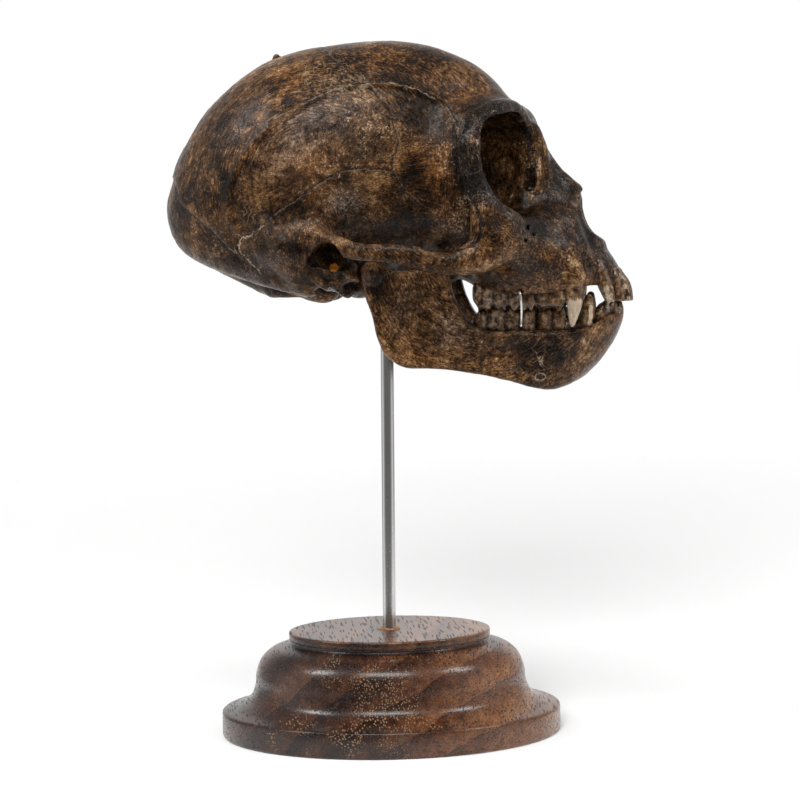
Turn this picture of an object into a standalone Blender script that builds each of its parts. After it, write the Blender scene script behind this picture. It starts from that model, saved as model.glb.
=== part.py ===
"""Vervet monkey skull on a turned wooden stand: a Blender 4.5 script.

Run it with blender --background --python part.py, or from Blender's text editor. Lengths are in
millimetres until a mesh is made, which is in metres. +Z is up, +X is the way the face looks, and the
skull's own right side is -Y. The origin is the middle of the base's underside.
"""

import math

import bmesh
import bpy
import numpy as np
import openvdb

# Driving sizes, in millimetres
MM = 0.001
ROD_DIAMETER = 3.0
ROD_LEAN = math.radians(0.9)
ROD_FOOT_X = 0.0
ROD_FOOT_Z = 11.0
ROD_TOP_Z = 112.0
ROD_ENTRY_Z = 90.0
FIT_GAP = 0.3
BASE_RADIUS = 39.0
BASE_RIM_HEIGHT = 5.3
BASE_HEIGHT = 23.6
BASE_TOP_RADIUS = 23.2
WIRE_DIAMETER = 0.55
WIRE_X = 32.65
WIRE_TOP_Z = 101.9
WIRE_BOTTOM_Z = 92.6
WIRE_BITE = 3.2
WIRE_TOP_OUT = 19.5
WIRE_BOTTOM_OUT = 17.6
WIRE_STRETCH = 1.6
WIRE_HOLE_MOUTH = 24.0
WIRE_HOLE_SIDES = 10
SKULL_STEP = 0.75
JAW_STEP = 0.6
CRANIUM_FACES = 5200
MANDIBLE_FACES = 2400
FAR = 6.0
SHARP_ANGLE = math.radians(40)


def smooth_min(a, b, blend):
    """The lower of two distances, with the crease between them filled over a width of blend."""
    if blend <= 0:
        return np.minimum(a, b)
    near = np.maximum(blend - np.abs(a - b), 0) / blend
    return np.minimum(a, b) - near * near * blend / 4


def smooth_max(a, b, blend):
    return -smooth_min(-a, -b, blend)


class Clay:
    """Half of a block of clay, from the midline outwards. Each grid point holds its distance to a surface."""

    def __init__(self, low, high, step):
        self.step = step
        self.low = np.array(low, float)
        self.counts = np.ceil((np.array(high) - self.low) / step).astype(int) + 1
        self.field = np.full(self.counts, FAR, np.float32)

    def window(self, low, high, margin):
        """The part of the grid round a box, as slices and as the coordinates of its points."""
        first = np.floor((np.array(low) - margin - self.low) / self.step).astype(int)
        last = np.ceil((np.array(high) + margin - self.low) / self.step).astype(int) + 1
        first = np.clip(first, 0, self.counts - 1)
        last = np.clip(last, first + 1, self.counts)
        spans = tuple(slice(a, b) for a, b in zip(first, last))
        axes = [self.low[i] + self.step * np.arange(first[i], last[i]) for i in range(3)]
        x = axes[0].astype(np.float32)[:, None, None]
        y = axes[1].astype(np.float32)[None, :, None]
        z = axes[2].astype(np.float32)[None, None, :]
        return spans, x, y, z

    def add(self, shape, blend=0.0):
        distance, low, high = shape
        spans, x, y, z = self.window(low, high, blend + 2)
        self.field[spans] = smooth_min(self.field[spans], distance(x, y, z), blend)

    def cut(self, shape, blend=0.0):
        distance, low, high = shape
        spans, x, y, z = self.window(low, high, blend + 2)
        self.field[spans] = smooth_max(self.field[spans], -distance(x, y, z), blend)

    def mesh(self, name):
        """Both halves as one closed mesh in metres, without any loose crumbs."""
        both = np.concatenate([self.field[:, :0:-1, :], self.field], axis=1)
        grid = openvdb.FloatGrid(FAR)
        grid.copyFromArray(np.ascontiguousarray(np.clip(both, -FAR, FAR)))
        points, quads = grid.convertToQuads(isovalue=0.0)
        corner = self.low - [0, (self.counts[1] - 1) * self.step, 0]
        points = np.asarray(points, float) * self.step + corner
        quads = largest_piece(len(points), np.asarray(quads, np.int64))
        used, index = np.unique(quads, return_inverse=True)
        mesh = bpy.data.meshes.new(name)
        mesh.from_pydata(points[used] * MM, [], index.reshape(-1, 4).tolist())
        mesh.update()
        return mesh


def largest_piece(count, quads):
    """The quads of the biggest connected piece."""
    label = np.arange(count)
    while True:
        lowest = label[quads].min(axis=1)
        before = label.copy()
        for corner in range(4):
            np.minimum.at(label, quads[:, corner], lowest)
        label = label[label]
        if (label == before).all():
            break
    names, sizes = np.unique(label[quads[:, 0]], return_counts=True)
    return quads[label[quads[:, 0]] == names[sizes.argmax()]]


def smooth_curve(points, steps, closed=False):
    """A Catmull-Rom curve through the points, with this many steps between each pair."""
    points = np.array(points, float)
    if closed:
        padded = np.vstack([points[-1], points, points[:2]])
    else:
        padded = np.vstack([2 * points[0] - points[1], points, 2 * points[-1] - points[-2]])
    made = []
    for a, b, c, d in zip(padded, padded[1:], padded[2:], padded[3:]):
        for t in np.arange(steps) / steps:
            made.append(0.5 * (2 * b + (c - a) * t + (2 * a - 5 * b + 4 * c - d) * t * t
                               + (3 * b - a - 3 * c + d) * t ** 3))
    if not closed:
        made.append(points[-1])
    return np.array(made)


def ball(centre, radii, yaw=0.0, pitch=0.0, roll=0.0):
    """An ellipsoid. Yaw turns its nose outwards, pitch lifts its nose, roll turns it about its own length."""
    cy, sy = math.cos(math.radians(yaw)), math.sin(math.radians(yaw))
    cp, sp = math.cos(math.radians(pitch)), math.sin(math.radians(pitch))
    cr, sr = math.cos(math.radians(roll)), math.sin(math.radians(roll))
    nose = np.array([cy * cp, sy * cp, sp])
    side = np.array([-sy, cy, 0.0])
    top = np.cross(nose, side)
    side, top = side * cr + top * sr, top * cr - side * sr
    half = np.sqrt(sum((radii[i] * axis) ** 2 for i, axis in enumerate((nose, side, top))))
    reach = tuple(np.array(centre) - half), tuple(np.array(centre) + half)

    def distance(x, y, z):
        dx, dy, dz = x - centre[0], y - centre[1], z - centre[2]
        scaled = []
        for axis, radius in zip((nose, side, top), radii):
            scaled.append((dx * axis[0] + dy * axis[1] + dz * axis[2]) / radius)
        a = np.sqrt(sum(s * s for s in scaled)) + 1e-6
        b = np.sqrt(sum((s / r) ** 2 for s, r in zip(scaled, radii))) + 1e-6
        return a * (a - 1) / b

    return distance, *reach


def block(centre, halves, rounding):
    """A box with rounded edges, square to the axes."""
    inner = [half - rounding for half in halves]

    def distance(x, y, z):
        dx = np.abs(x - centre[0]) - inner[0]
        dy = np.abs(y - centre[1]) - inner[1]
        dz = np.abs(z - centre[2]) - inner[2]
        outside = np.sqrt(np.maximum(dx, 0) ** 2 + np.maximum(dy, 0) ** 2 + np.maximum(dz, 0) ** 2)
        return outside + np.minimum(np.maximum(dx, np.maximum(dy, dz)), 0) - rounding

    low, high = np.array(centre) - halves, np.array(centre) + halves
    return distance, tuple(low), tuple(high)


def limb(points, flat=1.0, steps=4):
    """A rounded strand through points given as (x, y, z, radius). Flat thins it across, from side to side."""
    path = smooth_curve(points, steps)
    widest = path[:, 3].max()
    low, high = path[:, :3].min(axis=0) - widest, path[:, :3].max(axis=0) + widest

    def distance(x, y, z):
        nearest = None
        for a, b in zip(path, path[1:]):
            run = b - a
            length = run[0] ** 2 + (run[1] * flat) ** 2 + run[2] ** 2 + 1e-9
            dx, dy, dz = x - a[0], (y - a[1]) * flat, z - a[2]
            t = np.clip((dx * run[0] + dy * run[1] * flat + dz * run[2]) / length, 0, 1)
            gap = np.sqrt((dx - t * run[0]) ** 2 + (dy - t * run[1] * flat) ** 2 + (dz - t * run[2]) ** 2)
            gap = gap - (a[3] + t * run[3])
            nearest = gap if nearest is None else np.minimum(nearest, gap)
        return nearest

    return distance, tuple(low), tuple(high)


def outline_distance(outline, x, z):
    """How far points of the side view are from a closed outline, negative inside it."""
    outline = np.array(outline, float)
    nearest = np.full(np.broadcast(x, z).shape, 1e9, np.float32)
    inside = np.zeros(nearest.shape, bool)
    for a, b in zip(outline, np.roll(outline, -1, axis=0)):
        run = b - a
        t = np.clip(((x - a[0]) * run[0] + (z - a[1]) * run[1]) / (run @ run), 0, 1)
        nearest = np.minimum(nearest, (x - a[0] - t * run[0]) ** 2 + (z - a[1] - t * run[1]) ** 2)
        if a[1] != b[1]:
            crosses = (z >= min(a[1], b[1])) & (z < max(a[1], b[1]))
            inside ^= crosses & (x < a[0] + (z - a[1]) * run[0] / run[1])
    return np.where(inside, -1, 1) * np.sqrt(nearest)


def per_length(value, step):
    """Any smooth value that is zero on a surface, made into a distance near that surface."""
    slopes = np.gradient(value, step)
    return value / np.maximum(np.sqrt(sum(s * s for s in slopes)), 0.02)


# Braincase, seen from the side: the middle, the outline round it, and its half width along its length
BRAIN_MIDDLE = (-12.0, 127.5)
BRAIN_OUTLINE = [
    (-48.9, 121.2), (-47.2, 127.9), (-44.1, 135.6), (-38.6, 143.9), (-30.4, 151.0), (-22.9, 155.0),
    (-13.5, 157.3), (-2.0, 158.35), (6.6, 158.15), (15.5, 156.1), (23.0, 152.2), (29.0, 146.4),
    (33.0, 140.0), (34.0, 131.0), (31.0, 122.5), (25.0, 115.0), (15.0, 109.5), (4.0, 106.2),
    (-8.0, 104.6), (-18.0, 103.6), (-27.0, 104.2), (-35.0, 106.9), (-42.7, 111.2), (-47.3, 115.6),
]
BRAIN_WIDTHS = [
    (-50, 23.5), (-38, 26.3), (-22, 28.3), (-8, 27.9), (4, 26.6), (13, 25.2), (20, 25.0), (34, 26.0),
]
BRAIN_ROUNDNESS = 2.25


def brain_reach(x, z):
    """How far out a point of the side view lies, as a share of the way from the middle to the outline."""
    loop = smooth_curve(BRAIN_OUTLINE, 6, closed=True) - BRAIN_MIDDLE
    angles = np.arctan2(loop[:, 1], loop[:, 0])
    radii = np.hypot(loop[:, 0], loop[:, 1])
    order = np.argsort(angles)
    dx, dz = x - BRAIN_MIDDLE[0], z - BRAIN_MIDDLE[1]
    edge = np.interp(np.arctan2(dz, dx), angles[order], radii[order], period=2 * math.pi)
    return np.hypot(dx, dz) / edge


def brain_width(x, z):
    along, widths = np.array(BRAIN_WIDTHS, float).T
    return np.interp(x, along, widths) * (1 - 0.05 * np.clip((z - 124) / 30, -0.5, 1))


def brain_side(x, z):
    """The braincase's surface beside the midline, at a point of the side view."""
    rest = np.clip(1 - brain_reach(x, z) ** BRAIN_ROUNDNESS, 0, 1)
    return float(brain_width(x, z) * rest ** (1 / BRAIN_ROUNDNESS))


def braincase(step):
    def distance(x, y, z):
        reach = brain_reach(x[:, 0, :], z[0, 0, :][None, :])[:, None, :]
        out = np.abs(y) / brain_width(x, z)
        value = (reach ** BRAIN_ROUNDNESS + out ** BRAIN_ROUNDNESS) ** (1 / BRAIN_ROUNDNESS) - 1
        return per_length(value, step)

    return distance, (-51, 0, 99), (34, 30, 160)


# Snout: top and bottom heights and half widths at its top and bottom, along its length
SNOUT = [
    # x, top, bottom, half width at the top, half width at the bottom
    (18.0, 113.0, 105.0, 8.0, 12.5),
    (22.5, 117.0, 102.6, 10.0, 15.8),
    (28.0, 118.5, 101.6, 10.0, 17.8),
    (33.0, 122.0, 101.0, 6.0, 18.0),
    (37.0, 126.5, 101.0, 3.6, 17.1),
    (41.0, 126.0, 101.0, 3.2, 15.9),
    (44.5, 123.0, 101.8, 3.2, 14.7),
    (46.5, 117.5, 102.2, 4.8, 13.2),
    (49.0, 112.6, 102.2, 5.0, 11.0),
    (51.4, 110.6, 101.8, 4.4, 8.8),
    (53.2, 108.2, 101.6, 4.0, 6.8),
    (54.6, 105.6, 101.2, 3.4, 5.0),
    (56.2, 102.2, 100.6, 2.0, 3.0),
]
SNOUT_TAPER = 1.75


def snout():
    along, tops, bottoms, narrow, wide = np.array(SNOUT, float).T

    def distance(x, y, z):
        top, bottom = np.interp(x, along, tops), np.interp(x, along, bottoms)
        share = np.clip((z - bottom) / np.maximum(top - bottom, 1), 0, 1)
        wide_here, narrow_here = np.interp(x, along, wide), np.interp(x, along, narrow)
        half = wide_here + (narrow_here - wide_here) * share ** SNOUT_TAPER
        side = (np.abs(y) - half) * 0.86
        ends = np.maximum(along[0] - x, x - along[-1])
        shape = smooth_max(side, (z - top) * 0.85, 4.0)
        shape = smooth_max(shape, bottom - z, 1.5)
        return smooth_max(shape, ends, 2.0)

    return distance, (17, 0, 99), (58, 18, 128)


# Orbit: the middle of its opening, its axis outwards, and its size
ORBIT_MOUTH = (31.0, 14.3, 129.6)
ORBIT_YAW = 17.0
ORBIT_RADII = (23.5, 11.5, 11.45)
ORBIT_WALL = 1.7


def orbit_cup():
    """The bony cup round the eye socket, ended at the plane of its opening."""
    outer, low, high = ball(ORBIT_MOUTH, [r + ORBIT_WALL for r in ORBIT_RADII], yaw=ORBIT_YAW)
    facing = math.cos(math.radians(28)), math.sin(math.radians(28))

    def distance(x, y, z):
        ahead = (x - ORBIT_MOUTH[0]) * facing[0] + (y - ORBIT_MOUTH[1]) * facing[1]
        return smooth_max(outer(x, y, z), ahead + 0 * z, 1.0)

    return distance, low, high


# The face, as strands of (x, y, z, radius) and as balls
BROW = [
    (33.2, 0, 139.0, 2.4), (32.8, 4.5, 140.5, 1.7), (31.6, 9.5, 141.8, 1.5), (29.6, 14.5, 142.2, 1.6),
    (27.0, 19.3, 141.0, 1.9), (24.6, 22.8, 138.3, 2.2), (22.9, 24.8, 134.3, 2.4),
    (22.6, 25.7, 130.0, 2.5), (23.6, 26.2, 125.5, 2.6), (26.0, 26.2, 121.0, 2.8),
    (29.6, 24.4, 116.4, 3.0),
]
BROW_ROOF = dict(centre=(24.0, 8.0, 139.0), radii=(8.5, 14.0, 5.0), pitch=-8)
EYE_FLOOR = [
    (29.6, 24.4, 116.4, 3.0), (33.2, 20.0, 115.2, 2.6), (35.6, 14.5, 115.2, 2.4), (36.9, 9.5, 116.6, 2.0),
    (37.9, 6.2, 120.0, 1.7), (38.2, 4.7, 126.0, 1.4), (37.6, 4.2, 132.0, 1.2), (35.6, 3.8, 137.4, 1.2),
]
NOSE_BRIDGE = [
    (32.6, 0, 139.2, 2.6), (33.9, 0, 137.2, 2.6), (35.5, 0, 134.0, 2.6), (37.1, 0, 130.7, 2.7),
    (39.8, 0, 127.0, 2.6), (42.6, 0, 125.0, 2.0), (45.3, 0, 123.8, 1.1),
]
NOSE_CORE = [(36.0, 0, 128.0, 3.4), (39.5, 0, 122.0, 4.6), (41.0, 0, 115.0, 6.0)]
NOSE_EDGE = [
    (44.8, 1.5, 123.6, 1.2), (45.0, 3.6, 121.4, 1.2), (45.1, 4.9, 118.4, 1.2), (45.8, 5.2, 115.4, 1.3),
    (47.5, 4.8, 113.0, 1.4), (49.4, 3.0, 111.6, 1.4), (50.1, 0, 111.1, 1.4),
]
NOSE_HOLLOW = dict(centre=(47.8, 0, 117.2), radii=(7.0, 4.0, 6.2), pitch=12)
CHEEK = [
    (25.2, 27.4, 119.0, 2.6), (26.2, 27.2, 114.0, 3.6), (29.8, 24.0, 112.4, 4.2),
    (34.2, 17.9, 111.4, 4.5), (38.6, 13.4, 111.0, 4.6),
]
CHEEK_ARCH = [
    (-13.0, 27.4, 114.8, 1.8), (-8.0, 30.2, 113.0, 2.1), (-3.0, 32.2, 111.3, 2.0),
    (3.0, 33.0, 110.7, 1.9), (9.0, 32.9, 110.0, 2.3), (14.0, 32.2, 108.3, 2.5), (19.0, 30.8, 108.1, 2.5),
    (24.0, 28.6, 109.8, 3.2), (27.4, 26.4, 112.0, 3.6),
]
ARCH_FLATNESS = 1.55
CHEEK_ROOT = [
    (22.0, 29.0, 108.4, 2.4), (26.0, 26.2, 108.8, 2.4), (29.5, 22.8, 109.2, 2.6),
    (33.0, 19.0, 109.6, 2.8),
]
CHEEK_FOOT = [
    (25.0, 17.0, 107.0, 2.6), (30.0, 17.2, 106.8, 3.4), (35.5, 15.2, 107.0, 3.6),
    (41.5, 12.6, 108.0, 3.4),
]
SEPTUM = dict(centre=(21.0, 13.0, 125.0), radii=(8.5, 10.8, 14.0), yaw=25)
TUBER = dict(centre=(16.5, 11.8, 113.6), radii=(5.2, 5.6, 7.0))
CANINE_ROOT = [(46.0, 9.8, 111.0, 1.2), (45.0, 11.8, 106.0, 2.2)]
PALATE_HOLLOW = dict(centre=(36.0, 0, 100.5), radii=(17.0, 8.8, 5.2))
THROAT_HOLLOW = dict(centre=(20.0, 0, 103.5), radii=(9.0, 5.4, 4.6))

# The braincase and its underside
TEMPLE_LINE = [
    (21.5, 139.0), (18.0, 142.5), (12.0, 146.0), (3.0, 148.0), (-7.0, 147.0), (-17.0, 142.0),
    (-26.0, 134.5), (-30.5, 127.0), (-31.0, 119.5), (-27.0, 113.5),
]
TEMPLE_LINE_RADIUS = 0.55
TEMPLE_LINE_SINK = 0.2
NECK_EDGE = [
    (-40.5, 6.0, 115.0, 3.0), (-37.5, 11.0, 112.6, 3.0), (-33.0, 15.0, 110.4, 3.0),
    (-27.5, 18.0, 108.2, 3.0), (-22.0, 20.0, 106.3, 3.0), (-17.0, 21.3, 104.8, 2.8),
    (-12.0, 21.8, 104.1, 2.4),
]
NECK_MIDDLE = [(-41.0, 0, 112.2, 2.0), (-34.0, 0, 107.4, 1.6), (-28.0, 0, 103.9, 1.6)]
EAR_SWELL = dict(centre=(-17.0, 24.8, 113.0), radii=(8.5, 3.2, 4.6))
EAR_CREST = [
    (-23.0, 27.2, 117.5, 0.9), (-21.0, 27.4, 114.4, 1.0), (-17.5, 27.0, 111.8, 1.1),
    (-13.5, 26.4, 109.8, 1.1), (-10.0, 25.6, 108.0, 1.2),
]
SKULL_FLOOR = [(-6.0, 0, 106.0, 4.5), (2.0, 0, 107.5, 4.5), (10.0, 0, 109.5, 4.5), (18.0, 0, 111.0, 4.0)]
WING_PLATE = [
    (7.0, 7.6, 109.0, 2.4), (9.0, 7.8, 105.5, 2.2), (11.5, 8.6, 103.2, 1.8), (15.0, 9.8, 105.0, 2.2),
    (19.0, 11.5, 109.0, 3.0),
]
WING_FLATNESS = 2.2
EAR_TUBE = [(-8.6, 23.6, 109.8, 4.6), (-8.4, 17.0, 106.6, 4.6)]
EAR_HOLE = dict(centre=(-8.6, 28.8, 110.2), radii=(3.6, 6.0, 3.2), yaw=4)
EAR_FLOOR = [
    (-3.6, 26.4, 107.6, 1.2), (-5.0, 25.2, 105.6, 1.4), (-8.4, 23.6, 104.6, 1.6),
    (-12.0, 22.6, 105.0, 1.6),
]
MASTOID = [(-17.0, 25.0, 112.0, 4.4), (-15.5, 24.0, 107.5, 3.4), (-13.5, 22.5, 104.6, 2.2)]
PETROUS = [(-5.0, 20.0, 103.4, 2.0), (-3.0, 15.0, 102.8, 2.4), (1.0, 9.0, 104.5, 2.4)]
RIM_OF_BIG_HOLE = [
    (-26.2, 0, 102.9, 1.4), (-24.6, 4.6, 102.2, 1.5), (-21.0, 7.0, 102.2, 1.5), (-16.5, 7.6, 102.3, 1.6),
]
NECK_KNUCKLE = dict(centre=(-12.8, 7.2, 102.3), radii=(4.4, 2.7, 3.0), yaw=14)
BIG_HOLE = dict(centre=(-18.6, 0, 104.0), radii=(6.8, 5.6, 10.0), pitch=-6)

# Cheek teeth: the middle and half length of each lobe, from the back, and where the row runs
UPPER_LOBES = [(24.5, 2.2), (28.1, 1.75), (31.1, 1.55), (34.2, 1.75), (37.8, 2.0), (40.7, 1.3)]
LOWER_LOBES = [(23.5, 1.8), (27.0, 2.0), (30.5, 1.75), (33.8, 1.7), (38.0, 1.5), (40.8, 1.5), (43.4, 1.3)]
UPPER_ROW_OUT = 15.9
UPPER_ROW_TURN = 0.13
UPPER_ROW_WIDTH = 4.6
UPPER_ROOT_Z = 103.6
LOWER_ROW_OUT = 15.0
LOWER_ROW_TURN = 0.26
LOWER_ROW_WIDTH = 4.2
LOWER_ROOT_Z = 91.0
ROW_BACK_X = 26.5
CUSP_RADIUS = 1.8
LOBE_BLEND = 0.4
LOBE_ROUNDING = 0.9
BITE_Z = 97.3
BITE_GAP = 0.6

# Front teeth
UPPER_CANINE = [
    (44.4, 12.6, 106.0, 2.3), (44.5, 13.4, 102.0, 2.4), (44.7, 14.4, 98.8, 1.75),
    (44.4, 14.9, 95.8, 1.25), (44.0, 14.9, 93.5, 0.5),
]
UPPER_SIDE_INCISOR = [
    (50.3, 6.3, 105.8, 1.1), (51.4, 6.9, 102.0, 1.35), (52.5, 7.1, 99.5, 1.1), (52.8, 7.1, 97.8, 0.6),
]
UPPER_INCISOR = dict(centre=(56.1, 2.4, 100.4), radii=(0.95, 2.1, 2.5), pitch=6)
LOWER_CANINE = [(46.0, 9.0, 91.5, 2.0), (47.3, 9.5, 95.8, 1.4), (47.7, 9.9, 99.2, 0.45)]
LOWER_SIDE_INCISOR = dict(centre=(51.8, 5.3, 95.0), radii=(1.4, 1.7, 2.5), pitch=16)
LOWER_INCISOR = dict(centre=(53.7, 1.8, 95.4), radii=(1.1, 1.7, 2.6), pitch=22)


def cheek_tooth_lobe(x, y_out, y_in, low, high, half_length):
    """One transverse lobe of a cheek tooth: a body with a swelling at its outer and at its inner side."""
    middle = (low + high) / 2
    tall = (high - low) / 2
    across = (y_out - y_in + CUSP_RADIUS) / 2
    body = block((x, (y_out + y_in) / 2, middle), (half_length, across, tall), LOBE_ROUNDING)
    outer = ball((x, y_out, middle), (half_length, CUSP_RADIUS, tall))
    inner = ball((x, y_in, middle), (half_length, CUSP_RADIUS, tall))
    return body, outer, inner


def upper_teeth(clay):
    for x, half_length in UPPER_LOBES:
        y_out = UPPER_ROW_OUT - UPPER_ROW_TURN * max(x - ROW_BACK_X, 0)
        for lobe in cheek_tooth_lobe(x, y_out, y_out - UPPER_ROW_WIDTH, BITE_Z, UPPER_ROOT_Z, half_length):
            clay.add(lobe, LOBE_BLEND)
    clay.add(limb(UPPER_CANINE), 0.8)
    clay.add(limb(UPPER_SIDE_INCISOR), 0.6)
    clay.add(ball(**UPPER_INCISOR), 0.5)


def lower_teeth(clay):
    for x, half_length in LOWER_LOBES:
        y_out = LOWER_ROW_OUT - LOWER_ROW_TURN * max(x - ROW_BACK_X, 0)
        top = BITE_Z - BITE_GAP
        for lobe in cheek_tooth_lobe(x, y_out, y_out - LOWER_ROW_WIDTH, LOWER_ROOT_Z, top, half_length):
            clay.add(lobe, LOBE_BLEND)
    clay.add(limb(LOWER_CANINE), 0.8)
    clay.add(ball(**LOWER_SIDE_INCISOR), 0.5)
    clay.add(ball(**LOWER_INCISOR), 0.5)


def cranium_clay(step):
    temple = [(x, brain_side(x, z) - TEMPLE_LINE_SINK, z, TEMPLE_LINE_RADIUS) for x, z in TEMPLE_LINE]
    clay = Clay((-53, 0, 90), (60, 37, 162), step)
    clay.add(braincase(step))
    # Each shape is followed by the width of its blend into what is there
    added = [
        (limb(NECK_EDGE), 7.0), (limb(NECK_MIDDLE), 4.0), (limb(SKULL_FLOOR), 5.0),
        (ball(**SEPTUM), 8.0), (orbit_cup(), 3.0), (limb(BROW), 2.5), (ball(**BROW_ROOF), 4.0),
        (limb(NOSE_BRIDGE), 3.0), (limb(NOSE_CORE), 2.0), (snout(), 3.0), (limb(CHEEK), 3.0),
        (limb(CHEEK_FOOT), 5.0), (limb(EYE_FLOOR), 2.5), (ball(**TUBER), 3.0), (ball(**EAR_SWELL), 5.0),
        (limb(MASTOID), 3.0), (limb(CHEEK_ARCH, ARCH_FLATNESS), 2.5), (limb(CHEEK_ROOT), 3.0),
        (limb(temple), 1.5), (limb(EAR_CREST), 2.0), (limb(EAR_TUBE), 3.0), (limb(PETROUS), 3.0),
        (limb(RIM_OF_BIG_HOLE), 2.5), (ball(**NECK_KNUCKLE), 2.0), (limb(EAR_FLOOR), 1.5),
        (limb(WING_PLATE, WING_FLATNESS), 2.5), (limb(CANINE_ROOT), 4.0),
    ]
    hollows = [
        (ball(ORBIT_MOUTH, ORBIT_RADII, yaw=ORBIT_YAW), 1.0), (ball(**NOSE_HOLLOW), 1.0),
        (ball(**PALATE_HOLLOW), 2.0), (ball(**THROAT_HOLLOW), 1.5), (ball(**BIG_HOLE), 1.0),
        (ball(**EAR_HOLE), 0.8),
    ]
    for shape, blend in added:
        clay.add(shape, blend)
    for shape, blend in hollows:
        clay.cut(shape, blend)
    clay.add(limb(NOSE_EDGE), 1.5)
    upper_teeth(clay)
    return clay


# Mandible: its outline from the side, and the curve of its arch from above
JAW_OUTLINE = [
    (-1.6, 107.6), (-1.3, 101.5), (-0.2, 98.0), (0.9, 93.0), (2.1, 88.9), (4.3, 86.5), (7.5, 84.9),
    (12.0, 84.6), (19.0, 83.8), (27.0, 82.0), (33.0, 80.2), (38.0, 78.9), (42.3, 79.6), (45.4, 81.2),
    (48.3, 84.0), (51.2, 87.2), (53.2, 90.4), (54.6, 93.6), (55.1, 95.4), (52.5, 95.4), (47.0, 93.2),
    (40.0, 92.2), (32.0, 92.4), (26.5, 92.4), (23.4, 93.2), (21.0, 95.0), (18.8, 98.6), (17.5, 102.5),
    (17.2, 106.0), (16.6, 108.6), (14.6, 109.4), (12.6, 108.6), (10.6, 107.2), (8.4, 106.5), (5.6, 106.4),
    (3.4, 107.3), (1.6, 108.2),
]
JAW_ARCH = [
    (-6.0, 26.6), (-1.0, 25.4), (6.0, 23.2), (13.0, 20.6), (20.0, 18.2), (28.0, 15.6), (36.0, 13.0),
    (42.2, 10.2), (46.4, 6.8), (48.7, 3.4), (49.4, 0.0), (48.7, -3.4),
]
JAW_HALF_THICKNESS = [(-5, 1.9), (8, 1.9), (15, 2.0), (22, 3.2), (30, 3.6), (44, 3.5), (60, 3.5)]
JAW_EDGE = 1.8
CHIN_SLOPE = 0.56
CHIN_HEIGHT = 90.0
CHIN_FROM_X = 34.0
CHIN_TO_X = 46.0
JAW_HINGE = dict(centre=(0.2, 25.2, 106.2), radii=(1.9, 4.4, 2.1), yaw=-8)
CHIN_CORE = [(43.2, 0, 84.4, 3.0), (45.2, 0, 88.5, 3.2)]
CHEWING_HOLLOW = dict(centre=(11.0, 26.5, 95.0), radii=(6.0, 4.2, 8.0), yaw=-15)
SIDE_HOLLOW = dict(centre=(30.0, 20.6, 87.0), radii=(7.0, 2.8, 3.2), yaw=-18)


def jaw_plate():
    curve = smooth_curve(JAW_ARCH, 4)
    along, halves = np.array(JAW_HALF_THICKNESS, float).T

    def distance(x, y, z):
        lean = np.clip((x - CHIN_FROM_X) / (CHIN_TO_X - CHIN_FROM_X), 0, 1)
        flat_x = x - CHIN_SLOPE * (z - CHIN_HEIGHT) * lean
        nearest = np.full(np.broadcast(x, y, z).shape, 1e9, np.float32)
        for a, b in zip(curve, curve[1:]):
            run = b - a
            t = np.clip(((flat_x - a[0]) * run[0] + (y - a[1]) * run[1]) / (run @ run), 0, 1)
            nearest = np.minimum(nearest, (flat_x - a[0] - t * run[0]) ** 2 + (y - a[1] - t * run[1]) ** 2)
        thin = np.interp(x, along, halves)
        plate = np.sqrt(nearest) - thin
        side = outline_distance(JAW_OUTLINE, x[:, 0, :], z[:, 0, :])[:, None, :]
        return smooth_max(plate, side, JAW_EDGE)

    return distance, (-8, 0, 78), (60, 30, 115)


def mandible_clay(step):
    clay = Clay((-8, 0, 76), (62, 32, 116), step)
    clay.add(jaw_plate())
    clay.add(ball(**JAW_HINGE), 2.0)
    clay.add(limb(CHIN_CORE), 3.0)
    clay.cut(ball(**CHEWING_HOLLOW), 3.0)
    clay.cut(ball(**SIDE_HOLLOW), 3.0)
    lower_teeth(clay)
    return clay


def material(name, colour, roughness, metallic=0.0):
    made = bpy.data.materials.new(name)
    made.use_nodes = True
    shader = made.node_tree.nodes["Principled BSDF"]
    shader.inputs["Base Color"].default_value = (*colour, 1.0)
    shader.inputs["Roughness"].default_value = roughness
    shader.inputs["Metallic"].default_value = metallic
    return made


def stand(name, mesh, finish):
    mesh.materials.append(finish)
    obj = bpy.data.objects.new(name, mesh)
    bpy.context.scene.collection.objects.link(obj)
    return obj


def thin_out(obj, faces):
    """Lowers a clay mesh to about this many triangles, the same on both sides of the midline."""
    have = sum(len(polygon.vertices) - 2 for polygon in obj.data.polygons)
    fewer = obj.modifiers.new("fewer faces", "DECIMATE")
    fewer.decimate_type = "COLLAPSE"
    fewer.use_collapse_triangulate = True
    fewer.ratio = min(1.0, faces / have)


def drill(obj, cutter):
    cutter.hide_render = True
    cutter.display_type = "WIRE"
    hole = obj.modifiers.new("hole of " + cutter.name, "BOOLEAN")
    hole.operation = "DIFFERENCE"
    hole.solver = "EXACT"
    hole.object = cutter


def bar(name, start, end, radius, finish, sides=24):
    """A round bar between two points given in millimetres."""
    start, end = np.array(start, float), np.array(end, float)
    along = end - start
    length = np.linalg.norm(along)
    mesh = bpy.data.meshes.new(name)
    build = bmesh.new()
    bmesh.ops.create_cone(build, cap_ends=True, segments=sides, radius1=radius * MM, radius2=radius * MM,
                          depth=length * MM)
    build.to_mesh(mesh)
    build.free()
    mesh.shade_smooth()
    mesh.set_sharp_from_angle(angle=SHARP_ANGLE)
    obj = stand(name, mesh, finish)
    obj.location = (start + end) / 2 * MM
    tilt = math.atan2(math.hypot(along[0], along[1]), along[2])
    obj.rotation_euler = (0.0, tilt, math.atan2(along[1], along[0]))
    return obj


def rod_point(z):
    """The rod's middle line, which leans a little towards the face."""
    return ROD_FOOT_X + math.tan(ROD_LEAN) * (z - BASE_HEIGHT), 0.0, z


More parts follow.
